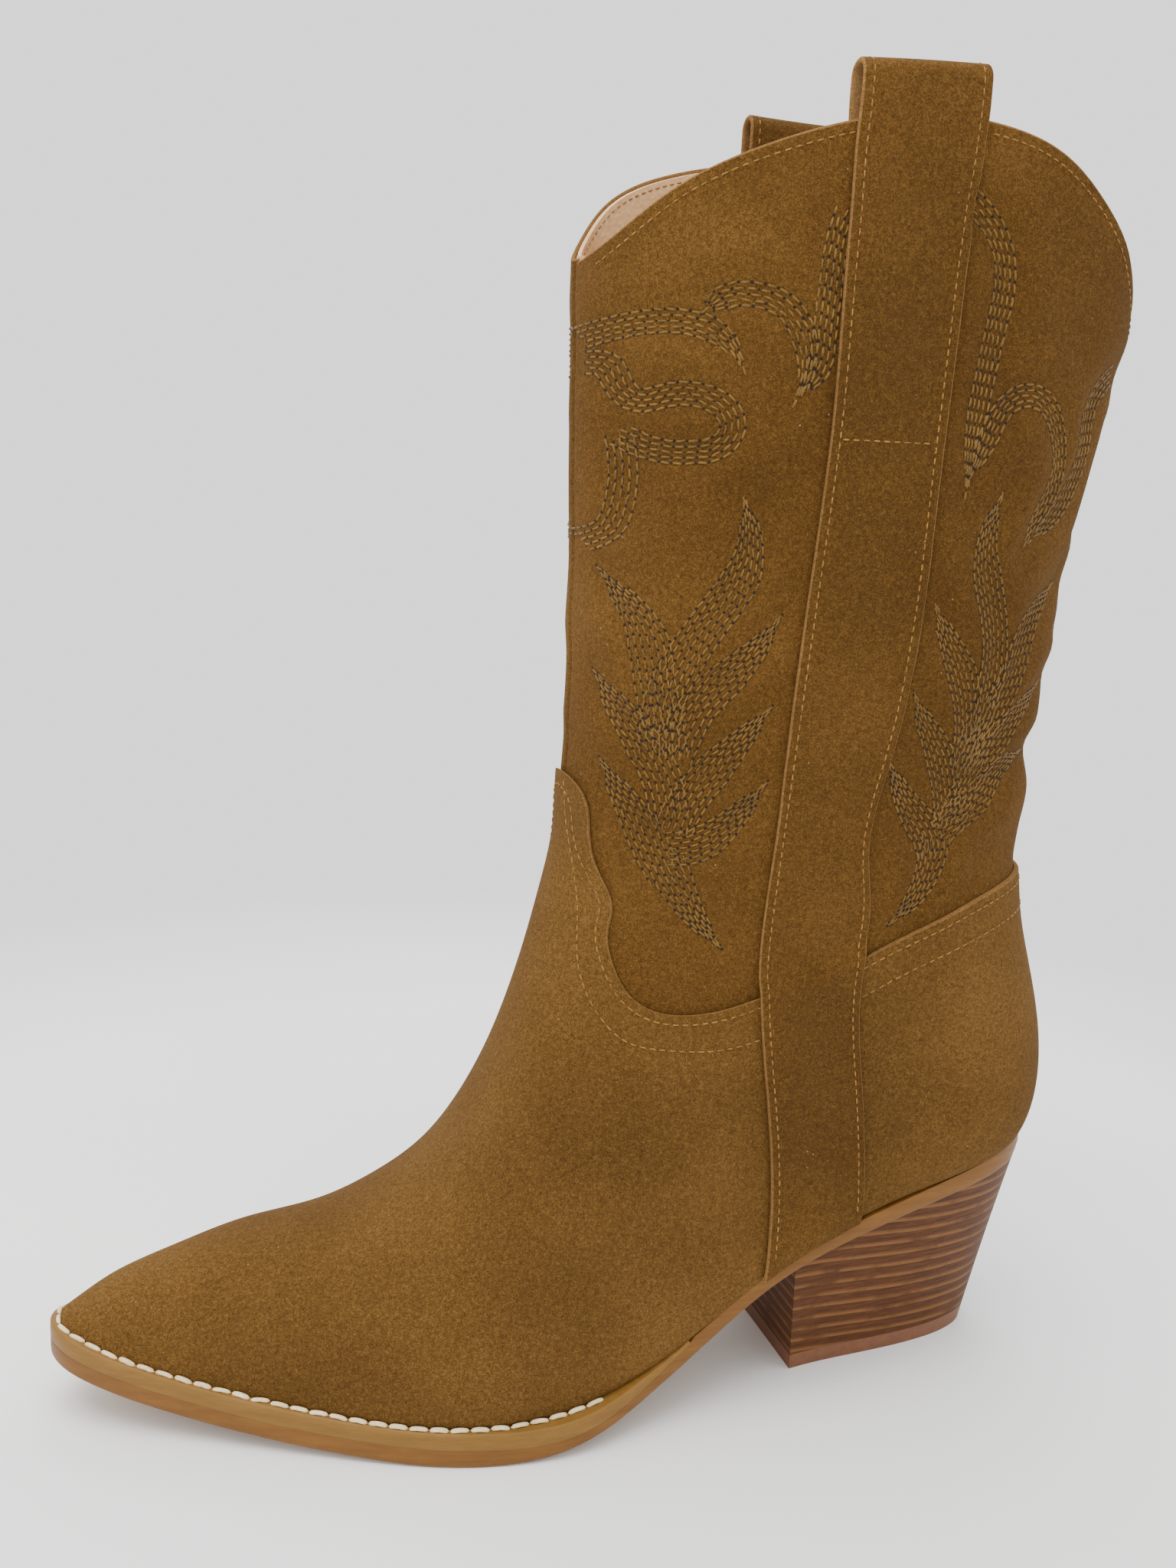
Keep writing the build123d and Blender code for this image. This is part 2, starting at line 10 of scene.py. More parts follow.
import bmesh
import bpy
import numpy as np
from mathutils import Matrix, Vector
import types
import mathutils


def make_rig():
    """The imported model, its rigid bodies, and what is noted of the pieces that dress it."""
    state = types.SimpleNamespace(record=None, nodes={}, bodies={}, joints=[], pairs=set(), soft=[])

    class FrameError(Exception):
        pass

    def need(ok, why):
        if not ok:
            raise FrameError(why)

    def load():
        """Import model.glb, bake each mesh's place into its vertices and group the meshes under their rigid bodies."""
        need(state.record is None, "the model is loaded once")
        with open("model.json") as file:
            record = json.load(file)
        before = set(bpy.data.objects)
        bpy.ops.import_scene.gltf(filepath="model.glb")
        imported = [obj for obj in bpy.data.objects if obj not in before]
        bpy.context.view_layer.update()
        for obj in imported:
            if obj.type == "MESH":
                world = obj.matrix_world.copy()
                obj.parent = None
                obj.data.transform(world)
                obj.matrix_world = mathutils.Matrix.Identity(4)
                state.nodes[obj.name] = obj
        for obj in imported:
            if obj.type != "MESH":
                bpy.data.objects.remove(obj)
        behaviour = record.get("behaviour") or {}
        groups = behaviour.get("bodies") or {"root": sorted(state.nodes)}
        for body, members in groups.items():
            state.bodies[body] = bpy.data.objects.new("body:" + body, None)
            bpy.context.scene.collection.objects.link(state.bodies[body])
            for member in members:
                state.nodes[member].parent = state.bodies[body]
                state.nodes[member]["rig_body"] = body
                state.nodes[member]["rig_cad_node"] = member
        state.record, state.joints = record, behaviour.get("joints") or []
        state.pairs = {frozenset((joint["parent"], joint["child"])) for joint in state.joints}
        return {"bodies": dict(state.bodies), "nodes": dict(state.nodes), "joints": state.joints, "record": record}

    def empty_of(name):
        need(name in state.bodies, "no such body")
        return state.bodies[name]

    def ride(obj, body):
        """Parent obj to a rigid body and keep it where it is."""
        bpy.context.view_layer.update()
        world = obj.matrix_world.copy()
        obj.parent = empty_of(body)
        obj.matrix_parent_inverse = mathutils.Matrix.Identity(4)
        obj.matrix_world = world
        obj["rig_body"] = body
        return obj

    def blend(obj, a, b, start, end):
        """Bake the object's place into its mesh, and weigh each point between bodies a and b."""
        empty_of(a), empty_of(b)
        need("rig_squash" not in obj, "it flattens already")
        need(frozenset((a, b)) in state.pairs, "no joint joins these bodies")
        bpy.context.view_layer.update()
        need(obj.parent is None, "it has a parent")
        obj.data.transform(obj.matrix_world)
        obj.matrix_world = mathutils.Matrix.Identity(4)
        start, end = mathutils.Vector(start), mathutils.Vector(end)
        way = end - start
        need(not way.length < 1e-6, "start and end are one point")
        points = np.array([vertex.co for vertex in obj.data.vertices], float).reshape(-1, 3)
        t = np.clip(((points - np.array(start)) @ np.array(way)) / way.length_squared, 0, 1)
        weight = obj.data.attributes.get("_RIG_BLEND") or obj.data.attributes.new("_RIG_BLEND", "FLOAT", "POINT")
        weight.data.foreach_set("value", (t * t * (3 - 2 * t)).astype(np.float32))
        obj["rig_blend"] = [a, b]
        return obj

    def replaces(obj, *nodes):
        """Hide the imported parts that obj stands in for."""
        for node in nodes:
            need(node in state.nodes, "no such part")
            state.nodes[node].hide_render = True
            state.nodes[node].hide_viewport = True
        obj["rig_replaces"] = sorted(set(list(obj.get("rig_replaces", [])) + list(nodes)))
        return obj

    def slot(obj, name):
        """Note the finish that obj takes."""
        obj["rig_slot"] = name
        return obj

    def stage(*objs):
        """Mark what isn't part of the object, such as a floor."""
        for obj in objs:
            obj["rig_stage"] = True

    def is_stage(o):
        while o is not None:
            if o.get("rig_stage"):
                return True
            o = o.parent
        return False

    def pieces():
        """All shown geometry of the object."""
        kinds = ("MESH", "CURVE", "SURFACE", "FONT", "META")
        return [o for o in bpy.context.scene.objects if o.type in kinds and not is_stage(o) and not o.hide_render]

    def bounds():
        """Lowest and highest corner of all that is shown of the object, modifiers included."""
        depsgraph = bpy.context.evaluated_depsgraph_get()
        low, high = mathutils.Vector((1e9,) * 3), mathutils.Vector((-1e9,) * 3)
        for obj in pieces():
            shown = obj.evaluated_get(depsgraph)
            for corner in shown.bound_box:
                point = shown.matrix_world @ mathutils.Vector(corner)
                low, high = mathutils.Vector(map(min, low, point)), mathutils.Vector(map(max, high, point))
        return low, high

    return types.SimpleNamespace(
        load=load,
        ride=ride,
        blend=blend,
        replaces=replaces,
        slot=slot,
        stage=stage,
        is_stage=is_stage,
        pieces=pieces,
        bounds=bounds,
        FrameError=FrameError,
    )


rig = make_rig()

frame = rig.load()
cad_low, cad_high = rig.bounds()

MM = 0.001
LAST_TO_BOOT = np.array([-2.5, 3.9, 0.0])
SEED = 7
random = np.random.default_rng(SEED)

# ---------------------------------------------------------------- the last
# front x, front z, back x, back z, lateral, medial, centre, front round, back round, lead
SECTIONS = np.array([
    (-129.0, 22.3, -129.0, 20.8, 0.5, 0.5, 4.5, 0.3, 0.4, 1.0),
    (-128.2, 23.0, -128.6, 14.5, 5.0, 5.2, 4.5, 7.0, 4.5, 0.8),
    (-124.2, 26.2, -125.6, 11.5, 8.8, 8.6, 4.5, 13.0, 6.0, 0.5),
    (-116.0, 31.3, -118.0, 10.0, 13.4, 13.2, 4.0, 18.5, 6.5, 0.2),
    (-102.0, 36.6, -105.0, 8.0, 18.3, 19.0, 3.0, 23.0, 7.0, 0.0),
    (-84.0, 42.0, -88.0, 6.0, 24.5, 26.0, 1.5, 28.0, 8.0, 0.0),
    (-65.0, 45.5, -70.0, 4.5, 31.5, 32.0, 0.0, 33.0, 9.0, 0.0),
    (-48.0, 53.0, -51.5, 3.5, 38.5, 36.5, -1.0, 40.5, 10.0, 0.0),
    (-34.5, 64.5, -31.5, 3.0, 42.5, 38.5, -1.8, 52.0, 11.0, 0.0),
    (-24.0, 82.0, -9.5, 4.0, 42.0, 37.0, -1.8, 65.0, 12.0, 0.0),
    (-17.0, 99.5, 17.5, 12.5, 39.5, 34.5, -1.2, 75.5, 13.0, 0.0),
    (-11.5, 116.5, 51.5, 32.0, 36.0, 33.5, -0.5, 79.0, 14.0, 0.0),
    (-7.2, 132.5, 89.0, 48.5, 34.0, 33.0, 0.0, 77.0, 18.0, 0.0),
    (-4.0, 147.5, 125.5, 60.8, 33.0, 32.5, 0.0, 72.0, 32.0, 0.0),
    (-3.1, 162.0, 132.6, 93.5, 34.5, 34.0, 0.0, 69.0, 50.0, 0.0),
    (-2.9, 177.0, 123.0, 129.5, 36.8, 35.2, -0.2, 67.0, 60.0, 0.0),
    (-3.2, 197.0, 120.2, 165.0, 38.8, 36.8, -0.7, 64.0, 64.0, 0.0),
    (-4.0, 222.0, 125.0, 206.0, 40.7, 38.0, -1.3, 66.5, 67.0, 0.0),
    (-5.5, 255.0, 133.5, 250.0, 42.5, 38.8, -2.0, 71.5, 73.0, 0.0),
    (-6.7, 295.0, 139.3, 295.0, 43.4, 38.8, -2.6, 75.0, 78.0, 0.0),
    (-7.7, 345.0, 143.8, 345.0, 43.7, 38.6, -2.8, 77.0, 80.0, 0.0),
])
LAST_SECTION = len(SECTIONS) - 1
FRONT_POWER, BACK_POWER = 2.1, 2.6

# skins: distance out from the last
LINING_IN, LINING_OUT = -1.5, -0.6
PANEL_IN, PANEL_OUT = -0.1, 1.15
TAPE_IN, TAPE_OUT = -0.55, -0.15
VAMP_IN, VAMP_OUT = 1.3, 2.65
STRAP_ON_PANEL, STRAP_ON_VAMP = 1.4, 3.0
STRAP_THICKNESS = 1.4
TAIL_SKIN = -2.3

# side-view lines (x, z)
FEATHER = [
    (-142, 25.5), (-105.5, 16), (-64.5, 10.5), (-30, 9), (-2, 11.5), (25, 24.2), (48, 39.2),
    (71.5, 49.3), (104, 58.6), (122, 63.4), (142, 69.5),
]
WELT_LOWER = [
    (-142, 21.1), (-105.5, 11.6), (-64.5, 6.1), (-30, 4.6), (-2, 7.4), (25, 23.4), *FEATHER[6:],
]
OUTSOLE_LOWER = [
    (-142, 16.4), (-105.5, 7), (-64.5, 1.5), (-36, 0), (-8, 2.8), (25, 18.6), (48, 34.4),
    (71.5, 44.6), (104, 53.3), (142, 61.3),
]
VAMP_EDGE = [
    (-14, 168), (-6.8, 166.8), (-3.2, 161.5), (-2.2, 154), (-1, 146), (1.5, 140),
    (3.2, 134.6), (2.2, 128.5), (3.5, 119.5), (6.5, 113.5), (13.5, 109), (21, 108.3),
    (29, 109.3), (39.5, 112.5), (53, 117),
]
VAMP_ROW_2 = [
    (-5.6, 164), (-5.1, 151), (-3.8, 131.5), (-4.2, 119), (-2.1, 111), (1.6, 105.2),
    (5.1, 102.1), (16, 99.6), (29.6, 99.5), (42, 102.4),
]
FOXING_EDGE = [
    (53, 115), (65, 121.3), (75.5, 126.8), (85, 131.2), (96, 135.6), (112, 140), (146, 144),
]
PANEL_LOWER = [
    (-30, 146), (-10, 116), (8, 99), (30, 95), (52, 101), (75, 112), (100, 123), (150, 129),
]
TOPLINE = [
    (-14, 285.5), (-5, 294.5), (6.5, 305.5), (26.5, 316), (48, 322.5), (64, 324.5), (80.5, 324),
    (94.5, 321.2), (105.5, 316), (116.5, 306.8), (127, 295), (138, 281.5), (148, 268),
]
# how much higher the medial topline stands, along x
MEDIAL_RISE = [(-40, 0.0), (-8, 0.5), (4, 4.5), (30, 4.5), (50, 3.0), (90, 2.0), (125, 0.5), (180, 0.0)]
STRAP_FRONT = [
    (43, 26), (44.5, 62), (41.5, 93), (39.5, 114), (39.5, 137), (40.2, 152), (40.8, 176),
    (44, 252), (44.8, 286), (46.8, 325), (47, 345),
]
STRAP_BACK = [
    (71, 26), (71.5, 62), (68.5, 93), (66.5, 114), (67, 137), (64.8, 152), (68.3, 176),
    (72, 252), (75, 286), (78, 325), (78, 345),
]
SIDE_SEAM_X = 53
LOOP_WIDTH = 7.6
LOOP_Y = {"lateral": -45.0, "medial": 34.7}
LOOP_X_DRIFT = {"lateral": -2.2, "medial": 2.5}
LOOP_TOP_Z_BY_SIDE = {"lateral": (335.6, 337.0), "medial": (339.2, 338.6)}
TAIL_LOWER_Z = 252.0

# plan outline of the outsole (x, y), toe tip first and round the lateral side
SOLE_OUTLINE = [
    (-134.5, 4.5), (-131.5, -4), (-124, -10.5), (-105.5, -19.8), (-84.5, -29.5), (-64, -38.5),
    (-43.5, -46), (-22, -49.6), (-5, -48.8), (14, -43.4), (36, -39.2), (78, -35.6), (103, -32.2),
    (121.2, -26), (131.6, -14), (135.4, 0), (131.6, 14), (121.2, 25.5), (103, 31.6), (78, 34.4),
    (36, 35.2), (8, 35.6), (-13, 38.5), (-33, 41.8), (-54, 41), (-74, 37), (-95, 30.8),
    (-116, 22.3), (-128, 15.3), (-133, 10),
]
WELT_END_X = 25.0
WELT_STITCH_END_X = 0.0

# decorative stitching in the side view (x, z): bands, each ending in a pointed tip
BANDS = {
    "collar_front": [
        (-6.8, 274.3), (-2, 275.9), (5, 277.3), (12.9, 276.9), (17.9, 274.8), (22, 270.8), (24.6, 265.4),
    ],
    "collar_hook": [
        (14.4, 278.9), (19.1, 282.9), (25, 283.4), (30.4, 281.8), (34.7, 277.7), (36.9, 272.3),
        (37.4, 265.5), (34.8, 257.9),
    ],
    "under_strap": [(36.5, 262), (39.8, 267), (40.8, 275.7), (41.2, 284.8), (42, 295.6), (43.8, 302.8)],
    "scroll_front": [
        (-5.9, 268.2), (-3, 267.9), (-0.2, 263), (3.2, 259.5), (9.7, 260.8), (17.1, 260.2), (21.6, 256.9),
        (22.5, 253.2), (19.5, 248.9), (14.5, 247.7), (8, 247.9), (3.3, 249.7), (0, 251.5),
    ],
    "scroll_lower": [(0.7, 251.1), (1.7, 241.4), (1.2, 234.5), (-0.6, 228.9), (-4.7, 225.6)],
    "behind_strap": [
        (74.3, 307.7), (80.9, 302.9), (85.2, 295.1), (85.6, 287.8), (83.9, 278.3), (82.6, 270.8),
        (81.3, 263.1), (80.2, 253.5), (80, 246.8), (79.7, 239),
    ],
    "scroll_back": [
        (80.4, 243.9), (84.7, 254.7), (89.6, 262.7), (95.5, 264.7), (101.8, 262.4), (106.7, 255.9),
        (109, 249), (107.1, 240.9), (102.7, 233.8), (99.7, 227.1),
    ],
    "collar_back": [
        (128, 272.4), (119.7, 265.6), (118.6, 259.6), (119.8, 253.6), (116.8, 244.3), (114.2, 240.1),
        (107.3, 233.8), (101.5, 229.2),
    ],
}
BAND_TIPS = {
    "collar_front": (0, 14), "collar_hook": (6, 16), "under_strap": (6, 0), "scroll_front": (0, 0),
    "scroll_lower": (0, 0), "behind_strap": (0, 20), "scroll_back": (10, 12), "collar_back": (0, 12),
}
# leaves (x, z), tip first
LEAVES = [
    [
        (25.5, 239.8), (27.9, 230.8), (27.5, 221.1), (22.2, 211), (16.3, 200.7), (12.5, 190.2), (11.5, 181),
        (12, 174),
    ],
    [(37.9, 211.8), (31.3, 201.6), (24.2, 193.7), (18.7, 186.5), (16.2, 180.3), (14.5, 173.2)],
    [(37.7, 189.5), (31.4, 181.4), (25.7, 174.2), (20.9, 166.9), (17.6, 159.6), (16.5, 154.2)],
    [(38.3, 170.5), (31.6, 161.4), (25.8, 154.9), (20.5, 151.4), (15.2, 150.5)],
    [(-2.6, 220.6), (1.6, 214.2), (6.3, 206.4), (8.7, 198.3), (10.2, 190), (12, 183.3), (13.5, 175)],
    [(-2.4, 195.2), (2.1, 187), (7, 179.2), (10.9, 172.8), (13.5, 166.2), (15.5, 158)],
    [(-0.6, 173.3), (5, 163.2), (9.7, 155.1), (13, 148.5), (17.3, 140.9)],
    [(30.9, 124.2), (25.1, 130.7), (19.8, 138.4), (15.3, 147.8)],
    [
        (91.6, 243.3), (88.2, 234.9), (87.6, 226.4), (90.7, 216.8), (94.3, 207), (95.5, 197), (94.5, 186),
        (91.5, 176),
    ],
    [(118.7, 220.4), (110.3, 213.6), (105.5, 205.7), (102.9, 196.7), (99.5, 187.7), (96, 179), (92, 171)],
    [(117.9, 195.2), (109, 187), (101.8, 179.4), (95.8, 171.6), (91.5, 164), (88.5, 156)],
    [(115.9, 175.2), (103.5, 170.9), (96.9, 164.3), (90.8, 159.6), (85.1, 154.8)],
    [(74.3, 216.1), (79.2, 207.1), (85.3, 197.3), (89.1, 188.2), (90.6, 179.1), (90.5, 171)],
    [(72, 193.9), (76.4, 185.5), (82.3, 176.4), (86, 167.1), (87.5, 160)],
    [(67.1, 176.7), (72.1, 167.6), (77.4, 160.3), (81.6, 155), (84, 149)],
    [(72, 130.1), (77.3, 135.3), (81, 140.5), (83.6, 147.7), (85.1, 154.8)],
]
ROW_SPACING = 1.3
LEAF_WIDTH = 8.4


def natural(values, knots=None):
    """Natural cubic spline through the rows of values, at knots 0, 1, 2 ... by default."""
    values = np.asarray(values, float)
    count = len(values)
    knots = np.arange(count, dtype=float) if knots is None else np.asarray(knots, float)
    gaps = np.diff(knots)
    system = np.zeros((count, count))
    right = np.zeros_like(values)
    system[0, 0] = system[-1, -1] = 1
    for i in range(1, count - 1):
        system[i, i - 1:i + 2] = (gaps[i - 1], 2 * (gaps[i - 1] + gaps[i]), gaps[i])
        right[i] = 6 * ((values[i + 1] - values[i]) / gaps[i] - (values[i] - values[i - 1]) / gaps[i - 1])
    bend = np.linalg.solve(system, right)

    def evaluate(t):
        t = np.asarray(t, float)
        i = np.clip(np.searchsorted(knots, t, side="right") - 1, 0, count - 2)
        gap = gaps[i]
        w = (t - knots[i]) / gap
        if values.ndim > 1:
            w, gap = w[..., None], gap[..., None]
        return (
            values[i] * (1 - w) + values[i + 1] * w
            + (((1 - w) ** 3 - (1 - w)) * bend[i] + (w ** 3 - w) * bend[i + 1]) * gap ** 2 / 6
        )

    return evaluate


def lengths_along(points):
    """Length travelled at each point of a polyline."""
    return np.r_[0, np.cumsum(np.linalg.norm(np.diff(points, axis=0), axis=1))]


def unit(vectors):
    """Vectors of length one."""
    return vectors / np.maximum(np.linalg.norm(vectors, axis=-1, keepdims=True), 1e-12)


def smooth_line(points, step=0.5):
    """Smooth curve through points, sampled at an even step along its length."""
    points = np.asarray(points, float)
    chords = lengths_along(points)
    return resample(natural(points, chords)(np.linspace(0, chords[-1], 40 * len(points))), step)


def closed_line(points, step=1.0):
    """Smooth closed curve through points."""
    points = np.asarray(points, float)
    wrapped = np.concatenate([points[-4:], points, points[:5]])
    chords = lengths_along(wrapped)
    return natural(wrapped, chords)(np.arange(chords[4], chords[4 + len(points)], step))


def resample(points, step):
    """Polyline with an even step."""
    along = lengths_along(points)
    count = max(2, int(round(along[-1] / step)) + 1)
    even = np.linspace(0, along[-1], count)
    return np.stack([np.interp(even, along, points[:, k]) for k in range(points.shape[1])], 1)


def height_of(points):
    """Height as a function of x for a side-view line."""
    line = smooth_line(points)
    return lambda x: np.interp(x, line[:, 0], line[:, 1])


feather_z = height_of(FEATHER)
welt_lower_z = height_of(WELT_LOWER)
outsole_lower_z = height_of(OUTSOLE_LOWER)
section_at = natural(SECTIONS)


def quarter(travel, power):
    """Superellipse quarter."""
    travel = np.clip(travel, 0, 1)
    return (1 - (1 - travel) ** power) ** (1 / power)


def smoothstep(value, low, high):
    """0 below low, 1 above high."""
    t = np.clip((value - low) / (high - low), 0, 1)
    return t * t * (3 - 2 * t)


def last_point(u, a, skin):
    """Point of the last at section u and ring angle a (0 front, pi back, lateral below pi)."""
    u, a, skin = np.broadcast_arrays(*[np.asarray(v, float) for v in (u, a, skin)])
    front_x, front_z, back_x, back_z, lateral, medial, centre, front_r, back_r, lead = (
        np.moveaxis(section_at(u), -1, 0)
    )
    length = np.hypot(back_x - front_x, back_z - front_z)
    run = length + 2 * skin
    share = (1 - np.cos(a)) / 2
    x = front_x - lead * skin + (back_x - front_x) / length * (run * share - skin)
    z = front_z + (back_z - front_z) / length * (run * share - skin)
    side = np.where(np.mod(a, 2 * pi) < pi, -1, 1)
    half = np.where(side < 0, lateral, medial) + skin
    rounding = quarter(run * share / (front_r + skin), FRONT_POWER)
    rounding = rounding * quarter(run * (1 - share) / (back_r + skin), BACK_POWER)
    return np.stack([x, centre + side * half * rounding, z], -1)


def quilting():
    """Side-view map of how far the decorative stitching pulls the suede in, and its sampler."""
    x, z = np.arange(-20.0, 151.0, 1.0), np.arange(110.0, 331.0, 1.0)
    grid = np.stack(np.meshgrid(x, z, indexing="ij"), -1).reshape(-1, 2)
    lines = [smooth_line(line, 2.5) for line in [*BANDS.values(), *LEAVES]]
    nearest = np.full(len(grid), 1e9)
    for point in np.concatenate(lines):
        nearest = np.minimum(nearest, ((grid - point) ** 2).sum(1))
    distance = np.sqrt(nearest).reshape(len(x), len(z))
    field = 0.8 * np.exp(-((distance - 9) / 5) ** 2) - 0.55 * np.exp(-(distance / 3.6) ** 2)

    def sample(px, pz):
        i, j = np.clip(px - x[0], 0, len(x) - 1.001), np.clip(pz - z[0], 0, len(z) - 1.001)
        i0, j0 = i.astype(int), j.astype(int)
        s, t = i - i0, j - j0
        return (
            field[i0, j0] * (1 - s) * (1 - t) + field[i0 + 1, j0] * s * (1 - t)
            + field[i0, j0 + 1] * (1 - s) * t + field[i0 + 1, j0 + 1] * s * t
        )

    return sample


quilt = quilting()


def relief(points):
    """Soft hollows and folds of the leather, in mm outwards."""
    x, z = points[..., 0], points[..., 2]
    ankle = smoothstep(z, 118, 150) * (1 - smoothstep(z, 225, 262))
    rear = smoothstep(x, 70, 118)
    folds = -0.9 * np.exp(-((z - 172 - 0.12 * (x - 100)) / 8) ** 2)
    folds = folds - 0.7 * np.exp(-((z - 148 + 0.2 * (x - 100)) / 6) ** 2)
    folds = folds + 0.9 * np.exp(-((z - 198) / 9) ** 2) + 0.6 * np.exp(-((z - 160) / 5) ** 2)
    front = 1 - smoothstep(x, 0, 30)
    instep = -0.5 * np.exp(-((z - 186) / 10) ** 2) + 0.5 * np.exp(-((z - 206) / 9) ** 2)
    slow = np.sin(x / 17 + 0.6) * np.sin(z / 23 + 0.4) + 0.6 * np.sin(x / 11 - z / 31 + 1)
    shaft = smoothstep(z, 122, 150) * (1 - smoothstep(z, 300, 318))
    strap = smoothstep(x, 36, 43) * (1 - smoothstep(x, 68, 76))
    seams = 0.2 + 0.8 * smoothstep(np.abs(points[..., 1]), 5, 20)
    creases = ankle * (rear * folds + front * instep)
    return seams * (creases + shaft * (1.5 * slow + 1.3 * (1 - strap) * quilt(x, z)))


def surface(u, a, skin):
    """Point of a layer of the upper, with the leather's relief."""
    base = last_point(u, a, np.zeros_like(np.asarray(u, float)))
    return last_point(u, a, np.asarray(skin, float) + relief(base))


def surface_normal(u, a, skin):
    """Outward unit normal of a layer."""
    step = 1e-3
    along = surface(u + step, a, skin) - surface(u - step, a, skin)
    around = surface(u, a + step, skin) - surface(u, a - step, skin)
    normal = unit(np.cross(along, around))
    outward = surface(u, a, np.asarray(skin, float) + 1) - surface(u, a, skin)
    return normal * np.sign((normal * outward).sum(-1, keepdims=True))


GUESS_GRID = np.meshgrid(np.linspace(0, LAST_SECTION, 240), np.linspace(0.02, pi - 0.02, 70), indexing="ij")
GUESS_UA = np.stack([side.ravel() for side in GUESS_GRID], 1)
GUESS_XZ = last_point(GUESS_UA[:, 0], GUESS_UA[:, 1], 1.0)[:, [0, 2]]


def find(x, z, side, skin):
    """Section and ring angle whose point of the layer is seen at (x, z) from the side."""
    x, z = np.atleast_1d(x).astype(float), np.atleast_1d(z).astype(float)
    target = np.stack([x, z], 1)
    nearest = [int(np.argmin(((GUESS_XZ - t) ** 2).sum(1))) for t in target]
    u, a = GUESS_UA[nearest].T.copy()
    flip = 1 if side < 0 else -1
    step = 1e-4
    for _ in range(8):
        here = surface(u, flip * a, skin)[:, [0, 2]]
        du = (surface(u + step, flip * a, skin)[:, [0, 2]] - here) / step
        da = (surface(u, flip * (a + step), skin)[:, [0, 2]] - here) / step
        miss = target - here
        det = du[:, 0] * da[:, 1] - du[:, 1] * da[:, 0]
        det = np.where(np.abs(det) < 1e-6, 1e-6, det)
        u = u + np.clip((miss[:, 0] * da[:, 1] - miss[:, 1] * da[:, 0]) / det, -0.5, 0.5)
        a = a + np.clip((du[:, 0] * miss[:, 1] - du[:, 1] * miss[:, 0]) / det, -0.2, 0.2)
        u = np.clip(u, 0, LAST_SECTION)
        a = np.clip(a, 0.004, pi - 0.004)
    return u, flip * a


def on_surface(line, side, skin):
    """Points and normals of a layer under a side-view line."""
    u, a = find(line[:, 0], line[:, 1], side, skin)
    return surface(u, a, skin), surface_normal(u, a, skin)


# ---------------------------------------------------------------- mesh helpers
def make_object(name, vertices, faces, materials, face_materials=None, smooth=True, sharp=None):
    """Mesh object from millimetre vertices."""
    mesh = bpy.data.meshes.new(name)
    places = (np.asarray(vertices) + LAST_TO_BOOT) * MM
    mesh.from_pydata(places.tolist(), [], [list(map(int, face)) for face in faces])
    for material in materials:
        mesh.materials.append(material)
    if face_materials is not None:
        mesh.polygons.foreach_set("material_index", np.asarray(face_materials, np.int32))
    if smooth:
        mesh.polygons.foreach_set("use_smooth", np.ones(len(mesh.polygons), bool))
    if sharp:
        mesh.set_sharp_from_angle(angle=radians(sharp))
    mesh.update()
    piece = bpy.data.objects.new(name, mesh)
    bpy.context.scene.collection.objects.link(piece)
    return piece


def face_outwards(piece):
    """Turn every face of a closed piece outwards."""
    mesh = bmesh.new()
    mesh.from_mesh(piece.data)
    bmesh.ops.recalc_face_normals(mesh, faces=mesh.faces)
    mesh.to_mesh(piece.data)
    mesh.free()
    return piece


def ring_quads(first, count):
    """Faces between the ring of points that starts at first and the next ring."""
    turns = [(i, (i + 1) % count) for i in range(count)]
    return [[first + i, first + j, first + count + j, first + count + i] for i, j in turns]


def finish_piece(piece, body, slot, *nodes):
    """Attach a piece to its body, material slot and the CAD nodes that it stands for."""
    if body:
        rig.ride(piece, body)
    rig.slot(piece, slot)
    if nodes:
        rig.replaces(piece, *nodes)
    return piece


def clip(params, polygons, measure):
    """Keep the part of the polygons where measure is positive."""
    values = measure(np.asarray(params))
    params = list(map(tuple, params))
    cuts, kept = {}, []

    def cut(i, j):
        key = (min(i, j), max(i, j))
        if key not in cuts:
            low, high = np.array(params[key[0]]), np.array(params[key[1]])
            v_low, v_high = values[key[0]], values[key[1]]
            t = v_low / (v_low - v_high)
            cuts[key] = len(params)
            params.append(tuple(low + (high - low) * t))
        return cuts[key]

    for polygon in polygons:
        inside = [values[i] >= 0 for i in polygon]
        if all(inside):
            kept.append(polygon)
            continue
        if not any(inside):
            continue
        out = []
        for i, j, i_in, j_in in zip(
            polygon, polygon[1:] + polygon[:1], inside, inside[1:] + inside[:1]
        ):
            if i_in:
                out.append(i)
            if i_in != j_in:
                out.append(cut(i, j))
        if len(out) > 2:
            kept.append(out)
    used = sorted({i for polygon in kept for i in polygon})
    place = {old: new for new, old in enumerate(used)}
    return np.array([params[i] for i in used]), [[place[i] for i in polygon] for polygon in kept]


def outline_distance(points, outline):
    """Signed distance in the side view to a closed outline, positive inside."""
    start, end = outline, np.roll(outline, -1, axis=0)
    best = np.full(len(points), 1e9)
    inside = np.zeros(len(points), bool)
    px, pz = points[:, 0], points[:, 1]
    for (x0, z0), (x1, z1) in zip(start, end):
        dx, dz = x1 - x0, z1 - z0
        size = dx * dx + dz * dz
        if size < 1e-12:
            continue
        t = np.clip(((px - x0) * dx + (pz - z0) * dz) / size, 0, 1)
        best = np.minimum(best, (px - x0 - t * dx) ** 2 + (pz - z0 - t * dz) ** 2)
        crosses = (z0 > pz) != (z1 > pz)
        with np.errstate(divide="ignore", invalid="ignore"):
            inside ^= crosses & (px < x0 + (pz - z0) / (dz if dz else 1e-12) * dx)
    return np.where(inside, 1, -1) * np.sqrt(best)


def zone(*runs):
    """Closed side-view outline made of smooth runs and corners."""
    return np.concatenate([smooth_line(run, 1.0) if len(run) > 2 else np.array(run, float) for run in runs])


